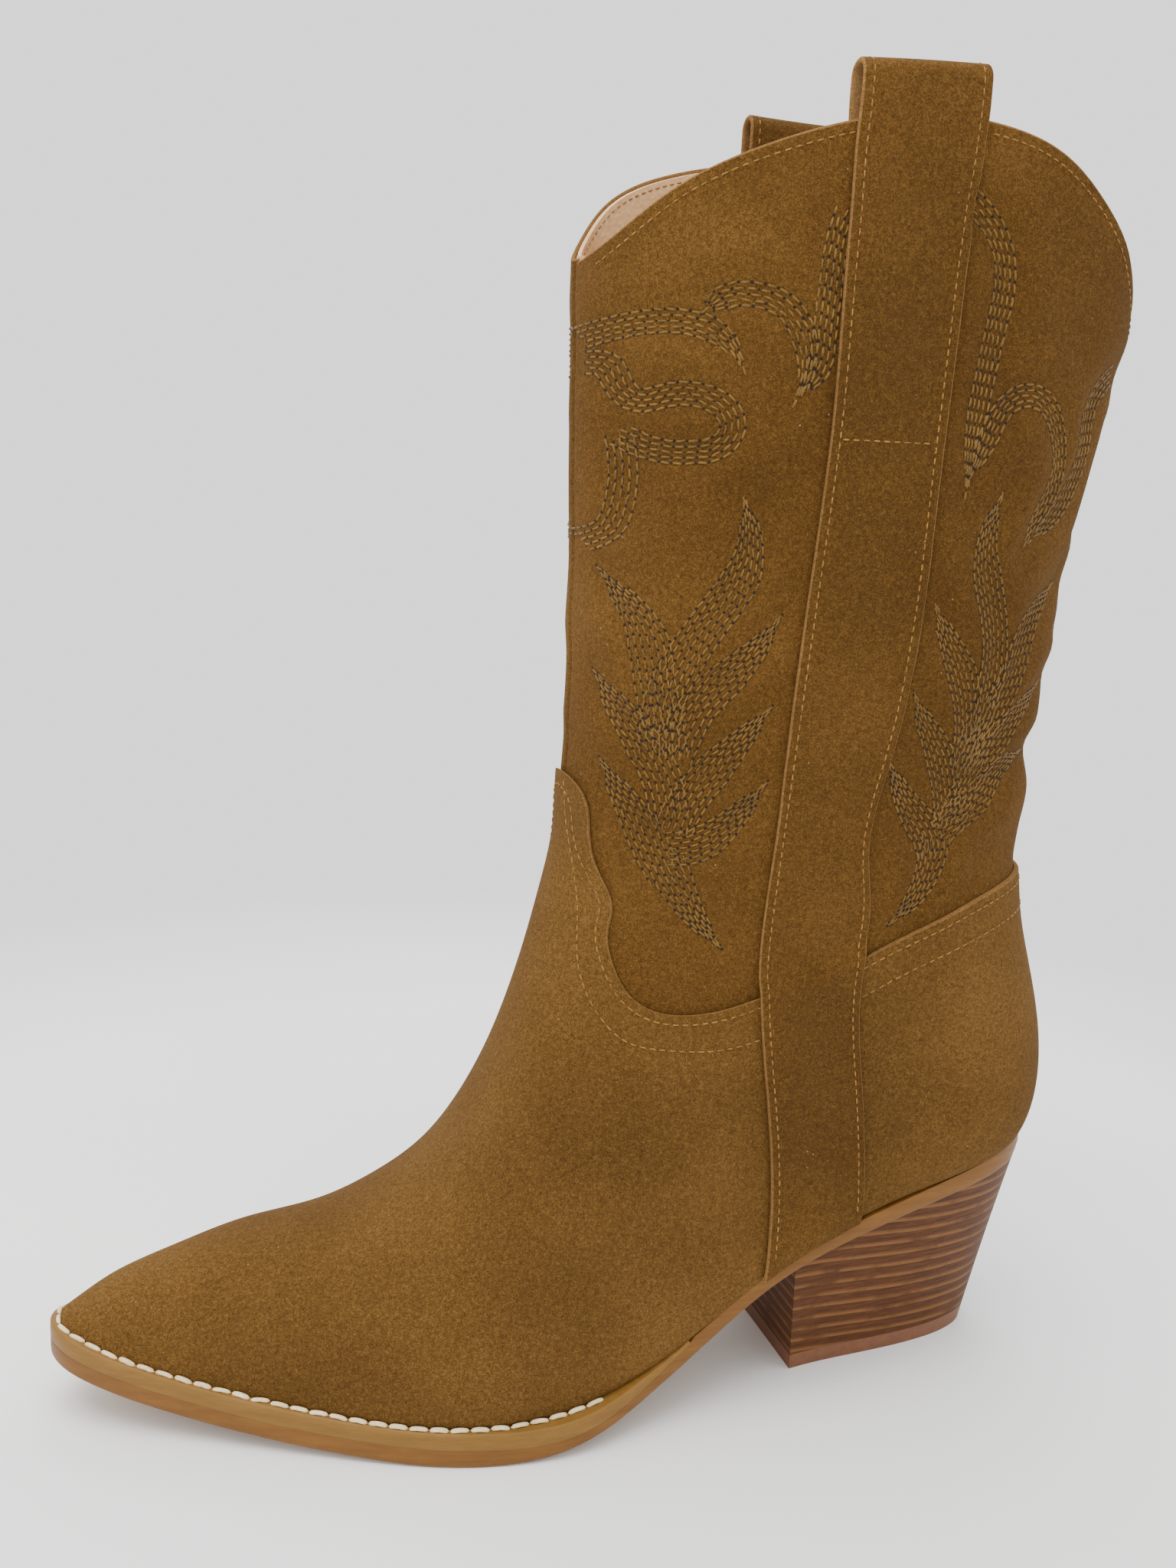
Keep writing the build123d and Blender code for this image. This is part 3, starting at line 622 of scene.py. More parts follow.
def shell_piece(name, sections, angles, skins, zones, materials, rim=((0.1, 0.1), (0.9, 0.1)), dip=None):
    """Closed layer between two skins, cut to its pattern; the rim gives the edge's profile."""
    inner, outer = skins
    grid_u, grid_a = np.meshgrid(sections, angles, indexing="ij")
    params = np.stack([grid_u.ravel(), grid_a.ravel()], 1)
    rows, columns = len(sections), len(angles)
    polygons = [
        [r * columns + c, r * columns + c + 1, (r + 1) * columns + c + 1, (r + 1) * columns + c]
        for r in range(rows - 1) for c in range(columns - 1)
    ]
    for outline in zones:
        params, polygons = clip(
            params, polygons,
            lambda p: outline_distance(surface(p[:, 0], p[:, 1], outer)[:, [0, 2]], outline),
        )
    u, a = params.T
    count = len(u)
    lowered = np.zeros(count) if dip is None else dip(u, a)
    outside, inside = surface(u, a, outer - lowered), surface(u, a, inner)
    edges = {}
    for polygon in polygons:
        for i, j in zip(polygon, polygon[1:] + polygon[:1]):
            edges[(i, j)] = edges.get((i, j), 0) + 1
    border = [(i, j) for i, j in edges if (j, i) not in edges]
    normals = surface_normal(u, np.clip(a, 1e-3, 2 * pi - 1e-3), outer)
    push = np.zeros((count, 3))
    for i, j in border:
        way = np.cross(outside[j] - outside[i], normals[i])
        push[i] += way
        push[j] += way
    lengths = np.linalg.norm(push, axis=1)
    ring = np.where(lengths > 1e-9)[0]
    push[ring] /= lengths[ring][:, None]
    first, second, third = polygons[0][:3]
    face = np.cross(outside[second] - outside[first], outside[third] - outside[first])
    facing = float(np.sign(face @ normals[first])) or 1.0
    push *= facing
    vertices = [outside, inside]
    base = 2 * count
    layers = [{int(v): int(v) for v in ring}]
    for share, reach in rim:
        points = outside[ring] * (1 - share) + inside[ring] * share + push[ring] * reach
        vertices.append(points)
        layers.append({int(v): base + k for k, v in enumerate(ring)})
        base += len(ring)
    layers.append({int(v): count + int(v) for v in ring})
    faces = [list(p) for p in polygons] + [[count + i for i in reversed(p)] for p in polygons]
    face_materials = [0] * len(polygons) + [2] * len(polygons)
    for i, j in border:
        for upper, lower in zip(layers, layers[1:]):
            faces.append([upper[j], upper[i], lower[i], lower[j]])
            face_materials.append(1)
    if facing < 0:
        faces = [f[::-1] for f in faces]
    face_materials = np.minimum(face_materials, len(materials) - 1)
    return make_object(name, np.concatenate(vertices), faces, materials, face_materials, sharp=55)


# ---------------------------------------------------------------- materials
def srgb(red, green, blue):
    """Linear colour from 0-255 sRGB."""
    def linear(channel):
        channel /= 255
        return channel / 12.92 if channel < 0.04045 else ((channel + 0.055) / 1.055) ** 2.4
    return (linear(red), linear(green), linear(blue), 1.0)


class Nodes:
    """Small helper that builds one node material."""

    def __init__(self, name, roughness=0.8, **sockets):
        self.material = bpy.data.materials.new(name)
        self.material.use_nodes = True
        self.tree = self.material.node_tree
        self.shader = self.tree.nodes["Principled BSDF"]
        self.shader.inputs["Roughness"].default_value = roughness
        for socket, value in sockets.items():
            self.shader.inputs[socket.replace("_", " ")].default_value = value
        self.place = self.add("ShaderNodeTexCoord").outputs["Object"]

    def add(self, kind, **values):
        node = self.tree.nodes.new(kind)
        for key, value in values.items():
            setattr(node, key, value)
        return node

    def link(self, source, target):
        self.tree.links.new(source, target)

    def stretched(self, scale):
        mapping = self.add("ShaderNodeMapping")
        mapping.inputs["Scale"].default_value = scale
        self.link(self.place, mapping.inputs["Vector"])
        return mapping.outputs["Vector"]

    def noise(self, scale, detail=3, rough=0.6, place=None):
        node = self.add("ShaderNodeTexNoise")
        node.inputs["Scale"].default_value = scale
        node.inputs["Detail"].default_value = detail
        node.inputs["Roughness"].default_value = rough
        self.link(place or self.place, node.inputs["Vector"])
        return node.outputs["Fac"]

    def voronoi(self, scale, feature="F1"):
        node = self.add("ShaderNodeTexVoronoi", feature=feature)
        node.inputs["Scale"].default_value = scale
        self.link(self.place, node.inputs["Vector"])
        return node.outputs["Distance"]

    def ramp(self, value, *stops):
        node = self.add("ShaderNodeValToRGB")
        elements = node.color_ramp.elements
        while len(elements) < len(stops):
            elements.new(0.5)
        for element, (position, colour) in zip(elements, stops):
            element.position = position
            element.color = colour
        self.link(value, node.inputs["Fac"])
        return node.outputs["Color"]

    def span(self, value, low, high, to_low=0.0, to_high=1.0):
        node = self.add("ShaderNodeMapRange")
        ends = {"From Min": low, "From Max": high, "To Min": to_low, "To Max": to_high}
        for socket, number in ends.items():
            node.inputs[socket].default_value = number
        self.link(value, node.inputs["Value"])
        return node.outputs["Result"]

    def feed(self, socket, value):
        """Set a socket to a constant, or link it to another node's output."""
        if isinstance(value, (int, float, tuple)):
            socket.default_value = value
        else:
            self.link(value, socket)

    def mix(self, factor, first, second):
        node = self.add("ShaderNodeMix", data_type="RGBA")
        for socket, value in (("Factor", factor), (6, first), (7, second)):
            self.feed(node.inputs[socket], value)
        return node.outputs[2]

    def math(self, operation, first, second=0.0):
        node = self.add("ShaderNodeMath", operation=operation)
        for socket, value in zip(node.inputs, (first, second)):
            self.feed(socket, value)
        return node.outputs[0]

    def blend(self, first, second, share):
        """Sum of two values, with the first one's share."""
        parts = [self.math("MULTIPLY", value, part) for value, part in ((first, share), (second, 1 - share))]
        return self.math("ADD", *parts)

    def axes(self):
        split = self.add("ShaderNodeSeparateXYZ")
        self.link(self.place, split.inputs[0])
        return split.outputs

    def colour(self, value):
        self.link(value, self.shader.inputs["Base Color"])

    def rough(self, value):
        self.link(value, self.shader.inputs["Roughness"])

    def bump(self, *heights, strength=0.5):
        normal = None
        for height, distance in heights:
            node = self.add("ShaderNodeBump")
            node.inputs["Strength"].default_value = strength
            node.inputs["Distance"].default_value = distance
            self.link(height, node.inputs["Height"])
            if normal:
                self.link(normal, node.inputs["Normal"])
            normal = node.outputs["Normal"]
        self.link(normal, self.shader.inputs["Normal"])


def suede(name, dark, middle, light, specks=True):
    """Napped suede: brushed patches, grain and stray light fibres."""
    n = Nodes(name, roughness=0.95, Sheen_Weight=0.2, Sheen_Roughness=0.5, Specular_IOR_Level=0.1)
    n.shader.inputs["Sheen Tint"].default_value = light
    patches = n.noise(17, detail=2, rough=0.5)
    nap = n.noise(950, detail=3, rough=0.65)
    grain = n.noise(2600, detail=3, rough=0.75)
    tone = n.math("ADD", n.math("MULTIPLY", patches, 0.22), n.math("MULTIPLY", nap, 0.24))
    tone = n.math("ADD", tone, n.math("MULTIPLY", grain, 0.54))
    colour = n.ramp(tone, (0.34, dark), (0.5, middle), (0.66, light))
    if specks:
        dots = n.span(n.voronoi(420), 0.0, 0.11, 1.0, 0.0)
        rare = n.span(n.noise(95, detail=1), 0.66, 0.70)
        colour = n.mix(n.math("MULTIPLY", n.math("MULTIPLY", dots, rare), 0.5), colour, srgb(225, 200, 160))
    n.colour(colour)
    n.bump((nap, 0.0006), (grain, 0.0005), strength=0.55)
    return n.material


suede_body = suede("suede", srgb(50, 32, 10), srgb(88, 61, 26), srgb(128, 94, 49))
# darker copy of the suede for the shaft panels: painted shade, as their upright walls get less light than the vamp
suede_shaft = suede("suede_shaft", srgb(46, 28, 8), srgb(82, 55, 21), srgb(120, 86, 42))
# darker copy of the suede for the straps: painted shade, as they stand upright and get less light than the vamp
suede_strap = suede("suede_strap", srgb(45, 28, 8), srgb(80, 54, 21), srgb(118, 84, 40))
suede_edge = suede("suede_cut_edge", srgb(78, 53, 26), srgb(116, 83, 46), srgb(150, 112, 68), specks=False)
suede_back = suede("suede_flesh_side", srgb(96, 68, 38), srgb(124, 92, 56), srgb(146, 112, 72), specks=False)


def lining_leather():
    """Pale pinkish lining leather with a pebbled grain."""
    n = Nodes("lining_leather", roughness=0.55, Specular_IOR_Level=0.35)
    pebble = n.voronoi(820, feature="SMOOTH_F1")
    fine = n.noise(1800, detail=2)
    wide = n.noise(45, detail=3)
    colour = n.ramp(wide, (0.3, srgb(204, 158, 108)), (0.7, srgb(222, 182, 134)))
    colour = n.mix(n.span(pebble, 0.0, 0.7, 0.0, 0.35), colour, srgb(176, 126, 84))
    n.colour(colour)
    n.bump((pebble, -0.0004), (fine, 0.0001), strength=0.5)
    return n.material


def thread(name, dark, light):
    """Twisted polyester thread with a soft gloss."""
    n = Nodes(name, roughness=0.5, Specular_IOR_Level=0.3)
    twist = n.noise(2600, detail=2)
    wide = n.noise(120, detail=2)
    n.colour(n.ramp(n.blend(twist, wide, 0.6), (0.36, dark), (0.62, light)))
    n.bump((twist, 0.0003), strength=0.5)
    return n.material


def plain(name, dark, light, roughness, scale, grain=0.0002, metallic=0.0):
    """Mottled material for the small and hidden pieces."""
    n = Nodes(name, roughness=roughness, Metallic=metallic)
    speckle = n.noise(scale, detail=3)
    n.colour(n.ramp(speckle, (0.35, dark), (0.65, light)))
    n.rough(n.span(speckle, 0.3, 0.7, roughness - 0.08, roughness + 0.08))
    n.bump((speckle, grain), strength=0.4)
    return n.material


def sole_leather(name, dark, middle, light):
    """Burnished leather edge with long faint scratches along the sole."""
    n = Nodes(name, roughness=0.5, Specular_IOR_Level=0.25)
    streaks = n.noise(60, detail=5, rough=0.6, place=n.stretched((1.0, 1.0, 9.0)))
    fine = n.noise(700, detail=3, place=n.stretched((0.4, 0.4, 3.0)))
    n.colour(n.ramp(n.blend(streaks, fine, 0.6), (0.34, dark), (0.5, middle), (0.66, light)))
    n.rough(n.span(fine, 0.3, 0.7, 0.42, 0.6))
    n.bump((streaks, 0.0001), (fine, 0.0001), strength=0.3)
    return n.material


STACK_PITCH = 0.0038


def stack_leather():
    """Stacked heel: brown layers with pale irregular striations that slope a little."""
    n = Nodes("stacked_leather", roughness=0.62, Specular_IOR_Level=0.15)
    axes = n.axes()
    sway = n.noise(18, detail=2)
    level = n.math("ADD", axes["Z"], n.math("MULTIPLY", axes["X"], 0.07))
    level = n.math("ADD", level, n.math("MULTIPLY", sway, 0.0025))
    position = n.math("FRACT", n.math("MULTIPLY", level, 1 / STACK_PITCH))
    broken = n.span(n.noise(90, detail=3), 0.30, 0.50)
    pale = n.math("MULTIPLY", n.span(position, 0.14, 0.42, 1.0, 0.0), broken)
    grain = n.noise(160, detail=6, rough=0.7, place=n.stretched((0.55, 0.55, 8.0)))
    fine = n.noise(900, detail=3, place=n.stretched((0.3, 0.3, 3.0)))
    browns = ((0.36, srgb(58, 30, 10)), (0.5, srgb(76, 42, 17)), (0.64, srgb(90, 53, 24)))
    colour = n.ramp(n.blend(grain, fine, 0.65), *browns)
    colour = n.mix(n.math("MULTIPLY", pale, 0.7), colour, srgb(124, 84, 45))
    n.colour(colour)
    n.bump((grain, 0.0003), (pale, -0.0002), strength=0.45)
    return n.material


lining = lining_leather()
gold_thread = thread("thread_gold", srgb(100, 66, 22), srgb(156, 112, 50))
olive_thread = thread("thread_olive", srgb(70, 49, 12), srgb(120, 87, 32))
cream_thread = thread("thread_cream", srgb(200, 172, 126), srgb(238, 218, 180))
# near-black discs at the needle holes: painted shade of the holes' hollows
needle_hole_painted_shade = plain("needle_hole_painted_shade", srgb(22, 11, 2), srgb(32, 17, 4), 1.0, 900)
welt_edge = sole_leather("welt_leather", srgb(108, 76, 28), srgb(116, 82, 32), srgb(126, 90, 38))
outsole_edge = sole_leather("sole_leather", srgb(98, 62, 18), srgb(107, 69, 22), srgb(118, 78, 28))
outsole_base = sole_leather("sole_bottom", srgb(118, 74, 26), srgb(138, 92, 38), srgb(154, 108, 52))
stack = stack_leather()
top_rubber = plain("top_piece_rubber", srgb(98, 56, 28), srgb(116, 70, 38), 0.6, 500)
tape_cloth = plain("backing_cloth", srgb(196, 184, 160), srgb(220, 210, 190), 0.9, 1200)
board = plain("insole_board", srgb(140, 112, 80), srgb(168, 138, 104), 0.85, 500)
foam = plain("foam", srgb(208, 200, 178), srgb(228, 222, 204), 0.95, 900, grain=0.0005)
filler = plain("filler", srgb(80, 62, 44), srgb(112, 90, 66), 0.95, 400, grain=0.0008)
steel = plain("steel", srgb(140, 140, 144), srgb(176, 176, 180), 0.35, 300, metallic=1.0)
brass = plain("brass", srgb(170, 132, 62), srgb(204, 168, 92), 0.3, 300, metallic=1.0)

CAD_MATERIALS = {
    "toe_puff": tape_cloth, "vamp_interlining": tape_cloth, "heel_stiffener": board,
    "insole_board": board, "sock_foam": foam, "sock_liner": lining, "shank": steel,
    "forepart_filler": filler, "heel_top_piece": top_rubber, "heel_nails": steel,
    "heel_screw": steel, "top_piece_brads": brass,
    **{f"heel_lift_{step}": stack for step in range(1, 9)},
}
for node, material in CAD_MATERIALS.items():
    mesh = frame["nodes"][node].data
    mesh.materials.clear()
    mesh.materials.append(material)

# ---------------------------------------------------------------- upper
FAR = 400.0
# angles round the lateral half of a ring, closer together at the front and back seams
NEAR_SEAM = np.array([0.0, 0.012, 0.024, 0.04])
HALF = np.r_[NEAR_SEAM, np.linspace(0.065, pi - 0.065, 93), pi - NEAR_SEAM[::-1]]
AROUND_FRONT = np.r_[-HALF[::-1][:-1], HALF]
AROUND_BACK = np.r_[HALF, 2 * pi - HALF[::-1][1:]]
AROUND_FRONT = AROUND_FRONT[(AROUND_FRONT > -pi) & (AROUND_FRONT < pi)]
FOOT_SECTIONS = np.r_[np.linspace(0, 2, 26)[:-1], np.linspace(2, 16, 225)]
SHAFT_SECTIONS = np.linspace(9, LAST_SECTION, 220)


def raised(line, rise):
    """Side-view line moved up."""
    return [(x, z + rise) for x, z in line]


def above(line, back_z, front_z):
    """Zone above a line that runs on to back_z behind the boot and front_z before it."""
    return zone(line, [(FAR, back_z), (FAR, FAR)], [(-FAR, FAR), (-FAR, front_z)])


def below(line, back_z, front_z):
    """Zone below a line that runs on to back_z behind the boot and front_z before it."""
    return zone(line, [(FAR, back_z), (FAR, -20)], [(-FAR, -20), (-FAR, front_z)])


medial_rise = np.interp(np.transpose(TOPLINE)[0], *np.transpose(MEDIAL_RISE))
topline_by_side = {
    "lateral": TOPLINE,
    "medial": [(x, z + rise) for (x, z), rise in zip(TOPLINE, medial_rise)],
}


def under_topline(side, drop=0.0):
    """Zone below a side's topline."""
    return below(raised(topline_by_side[side], -drop), 268, 285)


def above_tape(side):
    """Zone above the lower edge of the topline's tape."""
    return above(raised(topline_by_side[side], -10), 258, 275)


vamp_zone = zone(VAMP_EDGE, [(SIDE_SEAM_X, 116), (SIDE_SEAM_X, -20)], [(-170, -20), (-170, 168)])
FOXING_FRONT_X = SIDE_SEAM_X + 0.2
foxing_zone = zone(FOXING_EDGE, [(170, 144), (170, -20)], [(FOXING_FRONT_X, -20), (FOXING_FRONT_X, 114)])
feather_zone = above(raised(FEATHER, 0.15), 66, 25.5)
seat_gap_zone = above(raised(FEATHER, 0.6), 66, 25.5)
panel_zone = above(PANEL_LOWER, 129, 150)
below_panel_zone = below(raised(PANEL_LOWER, 2), 131, 150)
below_tape = under_topline("lateral", 10.3)
front_half = zone([(-FAR, -20), (SIDE_SEAM_X, -20)], [(SIDE_SEAM_X, FAR), (-FAR, FAR)])
back_half = zone([(SIDE_SEAM_X, -20), (FAR, -20)], [(FAR, FAR), (SIDE_SEAM_X, FAR)])


def seam_dip(u, a):
    """Groove where the two shaft panels meet at the front and the back."""
    point = surface(u, a, PANEL_OUT)
    centre = section_at(u)[:, 6]
    return 0.95 * np.exp(-((point[:, 1] - centre) / 0.9) ** 2)


upper = [suede_body, suede_edge, suede_back]
CUT_RIM = ((0.08, 0.10), (0.5, 0.16), (0.92, 0.10))
FOLD_RIM = ((0.12, 0.38), (0.5, 0.58), (0.88, 0.38))

LINING_RIM = ((0.5, 0.1),)
CLOTH_RIM = ((0.5, 0.02),)
BACK_SECTIONS = FOOT_SECTIONS[FOOT_SECTIONS > 9]
WITH_VAMP, WITH_LINING, WITH_TAPE = (VAMP_IN, VAMP_OUT), (LINING_IN, LINING_OUT), (TAPE_IN, TAPE_OUT)

vamp = shell_piece(
    "vamp_suede", FOOT_SECTIONS, AROUND_FRONT, WITH_VAMP, [feather_zone, vamp_zone], upper, CUT_RIM,
)
finish_piece(vamp, "boot", "suede", "vamp")
foxing = shell_piece(
    "heel_foxing_suede", BACK_SECTIONS, AROUND_BACK, WITH_VAMP, [seat_gap_zone, foxing_zone], upper, CUT_RIM,
)
finish_piece(foxing, "boot", "suede", "heel_foxing")
for side, angles in (("lateral", HALF), ("medial", 2 * pi - HALF[::-1])):
    panel = shell_piece(
        f"shaft_{side}_suede", SHAFT_SECTIONS, angles, (PANEL_IN, PANEL_OUT),
        [panel_zone, under_topline(side)], [suede_shaft, *upper[1:]], FOLD_RIM, dip=seam_dip,
    )
    finish_piece(panel, "boot", "suede", f"shaft_panel_{side}")
    inside = shell_piece(
        f"shaft_{side}_lining", SHAFT_SECTIONS, angles, WITH_LINING, [panel_zone, under_topline(side, 0.7)],
        [lining], LINING_RIM,
    )
    finish_piece(inside, "boot", "lining_leather", f"shaft_lining_{side}")
    tape = shell_piece(
        f"topline_{side}_tape", SHAFT_SECTIONS[-60:], angles, WITH_TAPE,
        [under_topline(side, 1.6), above_tape(side)], [tape_cloth], CLOTH_RIM,
    )
    finish_piece(tape, "boot", "backing_cloth", f"topline_tape_{side}")
for name, middle, reach in (("front", 0, 0.12), ("back", pi, 0.065)):
    tape = shell_piece(
        f"{name}_seam_cloth", SHAFT_SECTIONS, middle + np.linspace(-reach, reach, 13), WITH_TAPE,
        [panel_zone, below_tape], [tape_cloth], CLOTH_RIM,
    )
    finish_piece(tape, "boot", "backing_cloth", f"{name}_seam_tape")
for name, sections, angles, half in (
    ("vamp", FOOT_SECTIONS, AROUND_FRONT, front_half), ("heel", BACK_SECTIONS, AROUND_BACK, back_half),
):
    inside = shell_piece(
        f"{name}_lining_leather", sections, angles, WITH_LINING, [feather_zone, below_panel_zone, half],
        [lining],
    )
    finish_piece(inside, "boot", "lining_leather", f"{name}_lining")

# ---------------------------------------------------------------- side straps and loops
strap_front_line, strap_back_line = smooth_line(STRAP_FRONT), smooth_line(STRAP_BACK)
vamp_line, foxing_line = smooth_line(VAMP_EDGE), smooth_line(FOXING_EDGE)


def strap_x(z, w, side="lateral"):
    """x across the strap, w from 0 at its front edge to 1 at its back edge."""
    front = np.interp(z, strap_front_line[:, 1], strap_front_line[:, 0])
    back = np.interp(z, strap_back_line[:, 1], strap_back_line[:, 0])
    return front + (back - front) * w + LOOP_X_DRIFT[side] * smoothstep(z, 250, 330)


def strap_skin(x, z):
    """Skin under the strap: it climbs from the shaft panel onto the vamp and foxing."""
    edge = np.where(
        x < SIDE_SEAM_X, np.interp(x, vamp_line[-80:, 0], vamp_line[-80:, 1]),
        np.interp(x, foxing_line[:, 0], foxing_line[:, 1]),
    )
    return STRAP_ON_VAMP + (STRAP_ON_PANEL - STRAP_ON_VAMP) * smoothstep(z - edge, 0.5, 6.5)


LEG_TOP_Z = 316.0


def strap_middle(side, w):
    """Mid-thickness line of the strap at one place across it: up the outside, over, down inside."""
    sign = -1 if side == "lateral" else 1
    bottom = 40.0
    for _ in range(12):
        bottom = float(feather_z(strap_x(bottom, w, side))) + 0.3
    leg_z = np.linspace(bottom, LEG_TOP_Z, 170)
    leg_x = strap_x(leg_z, w, side)
    skin = strap_skin(leg_x, leg_z) + STRAP_THICKNESS / 2
    leg = surface(*find(leg_x, leg_z, sign, skin), skin)
    tail_z = np.linspace(LEG_TOP_Z - 2, TAIL_LOWER_Z, 34)
    tail = surface(*find(strap_x(tail_z, w, side), tail_z, sign, TAIL_SKIN), TAIL_SKIN)
    outer_y, inner_y = leg[-1, 1], tail[0, 1]
    radius = (LOOP_WIDTH - STRAP_THICKNESS) / 2
    swell = radius - abs(outer_y - inner_y) / 2
    front_top, back_top = LOOP_TOP_Z_BY_SIDE[side]
    arch_z = front_top + (back_top - front_top) * w - STRAP_THICKNESS / 2 - radius
    rise = np.linspace(LEG_TOP_Z + 2, arch_z, 12)
    ease = smoothstep(rise, LEG_TOP_Z, 328)
    up = np.stack([strap_x(rise, w, side), outer_y + sign * swell * ease, rise], 1)
    turn = np.linspace(0, pi, 13)[1:-1]
    over_z = arch_z + radius * np.sin(turn)
    over_y = (outer_y + inner_y) / 2 + sign * radius * np.cos(turn)
    arch = np.stack([strap_x(over_z, w, side), over_y, over_z], 1)
    down = np.stack([strap_x(rise, w, side), inner_y - sign * swell * ease, rise], 1)[::-1]
    return np.concatenate([leg, up, arch, down, tail])


def bend_at(side, z):
    """Point of the loop's bend, in metres."""
    return tuple((np.array([62.0, LOOP_Y[side], z]) + LAST_TO_BOOT) * MM)


BEND_LOW_Z, BEND_HIGH_Z = 323.5, 328.5


def grid_piece(name, rows, thickness, materials, inset=0.35):
    """Strip of even thickness, with bevelled edges, from rows of mid-thickness points."""
    across, along = rows.shape[:2]
    around = np.gradient(rows, axis=0)
    forward = np.gradient(rows, axis=1)
    normal = unit(np.cross(forward, around))
    outward = rows[across // 2, 10] * np.array([0, 1, 0])
    if normal[across // 2, 10] @ outward < 0:
        normal = -normal
    edge_way = unit(around)
    half = thickness / 2
    outer, inner = rows + normal * half, rows - normal * half
    front, back = [[rows[end] + normal[end] * out for out in (half - inset, inset - half)] for end in (0, -1)]
    for face in (outer, inner):
        face[0] += edge_way[0] * inset
        face[-1] -= edge_way[-1] * inset
    profile = np.concatenate([outer, back, inner[::-1], front[::-1]])
    count = len(profile)
    vertices = profile.transpose(1, 0, 2).reshape(-1, 3)
    faces, face_materials = [], []
    for j in range(along - 1):
        faces += ring_quads(j * count, count)
        for i in range(count):
            on_back = 2 if across + 1 < i < 2 * across + 1 else 1
            face_materials.append(0 if i < across - 1 else on_back)
    faces.append(list(reversed(range(count))))
    faces.append([(along - 1) * count + i for i in range(count)])
    face_materials += [1, 1]
    return face_outwards(make_object(name, vertices, faces, materials, face_materials, sharp=60))


STRAP_SHARES = np.r_[0, 0.03, np.linspace(0.08, 0.92, 13), 0.97, 1]
for side in ("lateral", "medial"):
    rows = np.array([strap_middle(side, w) for w in STRAP_SHARES])
    strap_suedes = [suede_strap, suede_edge, suede_back]
    strap = grid_piece(f"side_strap_{side}_suede", rows, STRAP_THICKNESS, strap_suedes)
    finish_piece(strap, None, "strap_suede", f"side_strap_{side}", f"strap_tail_{side}", f"pull_loop_{side}")
    low, high = bend_at(side, BEND_LOW_Z), bend_at(side, BEND_HIGH_Z)
    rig.blend(strap, "boot", f"{side}_loop", start=low, end=high)

# ---------------------------------------------------------------- stitching
def dash_mesh(points, normals, length, gap, radius, first=0.0, lift=0.25, jitter=0.0, blunt=4, rings=6):
    """Vertices and faces of a row of thread stitches lying on a line, and its needle holes."""
    along = lengths_along(points)
    total = along[-1]
    starts = np.arange(first, total - length * 0.6, length + gap)
    sides = 6
    share = np.linspace(0, 1, rings)
    profile = np.sqrt(np.clip(1 - (2 * share - 1) ** blunt, 0, 1)) * 0.85 + 0.15
    turn = np.linspace(0, 2 * pi, sides, endpoint=False)
    vertices, faces, holes = [], [], []
    for start in starts:
        end = min(start + length, total)
        at = start + (end - start) * share
        middle = np.stack([np.interp(at, along, points[:, k]) for k in range(3)], 1)
        normal = np.stack([np.interp(at, along, normals[:, k]) for k in range(3)], 1)
        normal = unit(normal)
        forward = unit(np.gradient(middle, axis=0))
        sideways = np.cross(normal, forward)
        if jitter:
            skew = random.normal(0, jitter)
            middle = middle + sideways * (share - 0.5)[:, None] * skew
        bow = np.sin(pi * share)
        size = radius * (1 + (random.normal(0, 0.06) if jitter else 0))
        middle = middle + normal * (size * (lift + 0.75 * bow) - 0.5 * size)[:, None]
        base = len(vertices) * rings * sides
        ring = (
            middle[:, None]
            + sideways[:, None] * (np.cos(turn)[None, :, None] * size * profile[:, None, None])
            + normal[:, None] * (np.sin(turn)[None, :, None] * size * 0.8 * profile[:, None, None])
        )
        vertices.append(ring.reshape(-1, 3))
        for r in range(rings - 1):
            faces += ring_quads(base + r * sides, sides)
        faces.append([base + s for s in reversed(range(sides))])
        faces.append([base + (rings - 1) * sides + s for s in range(sides)])
        pierced = np.array([np.interp(start - gap / 2, along, points[:, k]) for k in range(3)])
        holes.append((pierced, normal[0], forward[0]))
    return (np.concatenate(vertices) if vertices else np.zeros((0, 3))), faces, holes


def hole_shade_mesh(holes, radius):
    """Small dark discs where the needle went in, a little proud of the suede: painted shade of the needle holes."""
    turn = np.linspace(0, 2 * pi, 7)[:-1]
    vertices, faces = [], []
    for place, normal, forward in holes:
        sideways = np.cross(normal, forward)
        base = len(vertices) * 7
        spokes = np.cos(turn)[:, None] * forward + np.sin(turn)[:, None] * sideways
        ring = place + normal * 0.02 + radius * spokes
        vertices.append(np.concatenate([ring, (place + normal * 0.1)[None]]))
        faces += [[base + k, base + (k + 1) % 6, base + 6] for k in range(6)]
    return np.concatenate(vertices), faces


class Stitching:
    """Collects rows of stitches that become one piece of thread and one of dark discs, painted shade at the needle
    holes.
    """

    def __init__(self):
        self.vertices, self.faces, self.count, self.holes = [], [], 0, []

    def row(self, points, normals, length=1.8, gap=0.7, radius=0.2, **options):
        if len(points) < 3:
            return
        vertices, faces, holes = dash_mesh(points, normals, length, gap, radius, **options)
        self.vertices.append(vertices)
        self.faces += [[i + self.count for i in face] for face in faces]
        self.count += len(vertices)
        self.holes += holes

    def build(self, name, material, slot, hole_shade_radius=0.0, body="boot"):
        self.piece = make_object(name, np.concatenate(self.vertices), self.faces, [material])
        finish_piece(self.piece, body, slot)
        if hole_shade_radius:
            # dark discs painted as the shade inside the needle holes
            vertices, faces = hole_shade_mesh(self.holes, hole_shade_radius)
            holes = make_object(name + "_hole_shade", vertices, faces, [needle_hole_painted_shade], smooth=False)
            finish_piece(holes, "boot", slot)


def shifted_line(line, distance):
    """Polyline moved sideways, to the right of its direction when distance is positive."""
    forward = unit(np.gradient(line, axis=0))
    return line + distance * np.stack([forward[:, 1], -forward[:, 0]], 1)


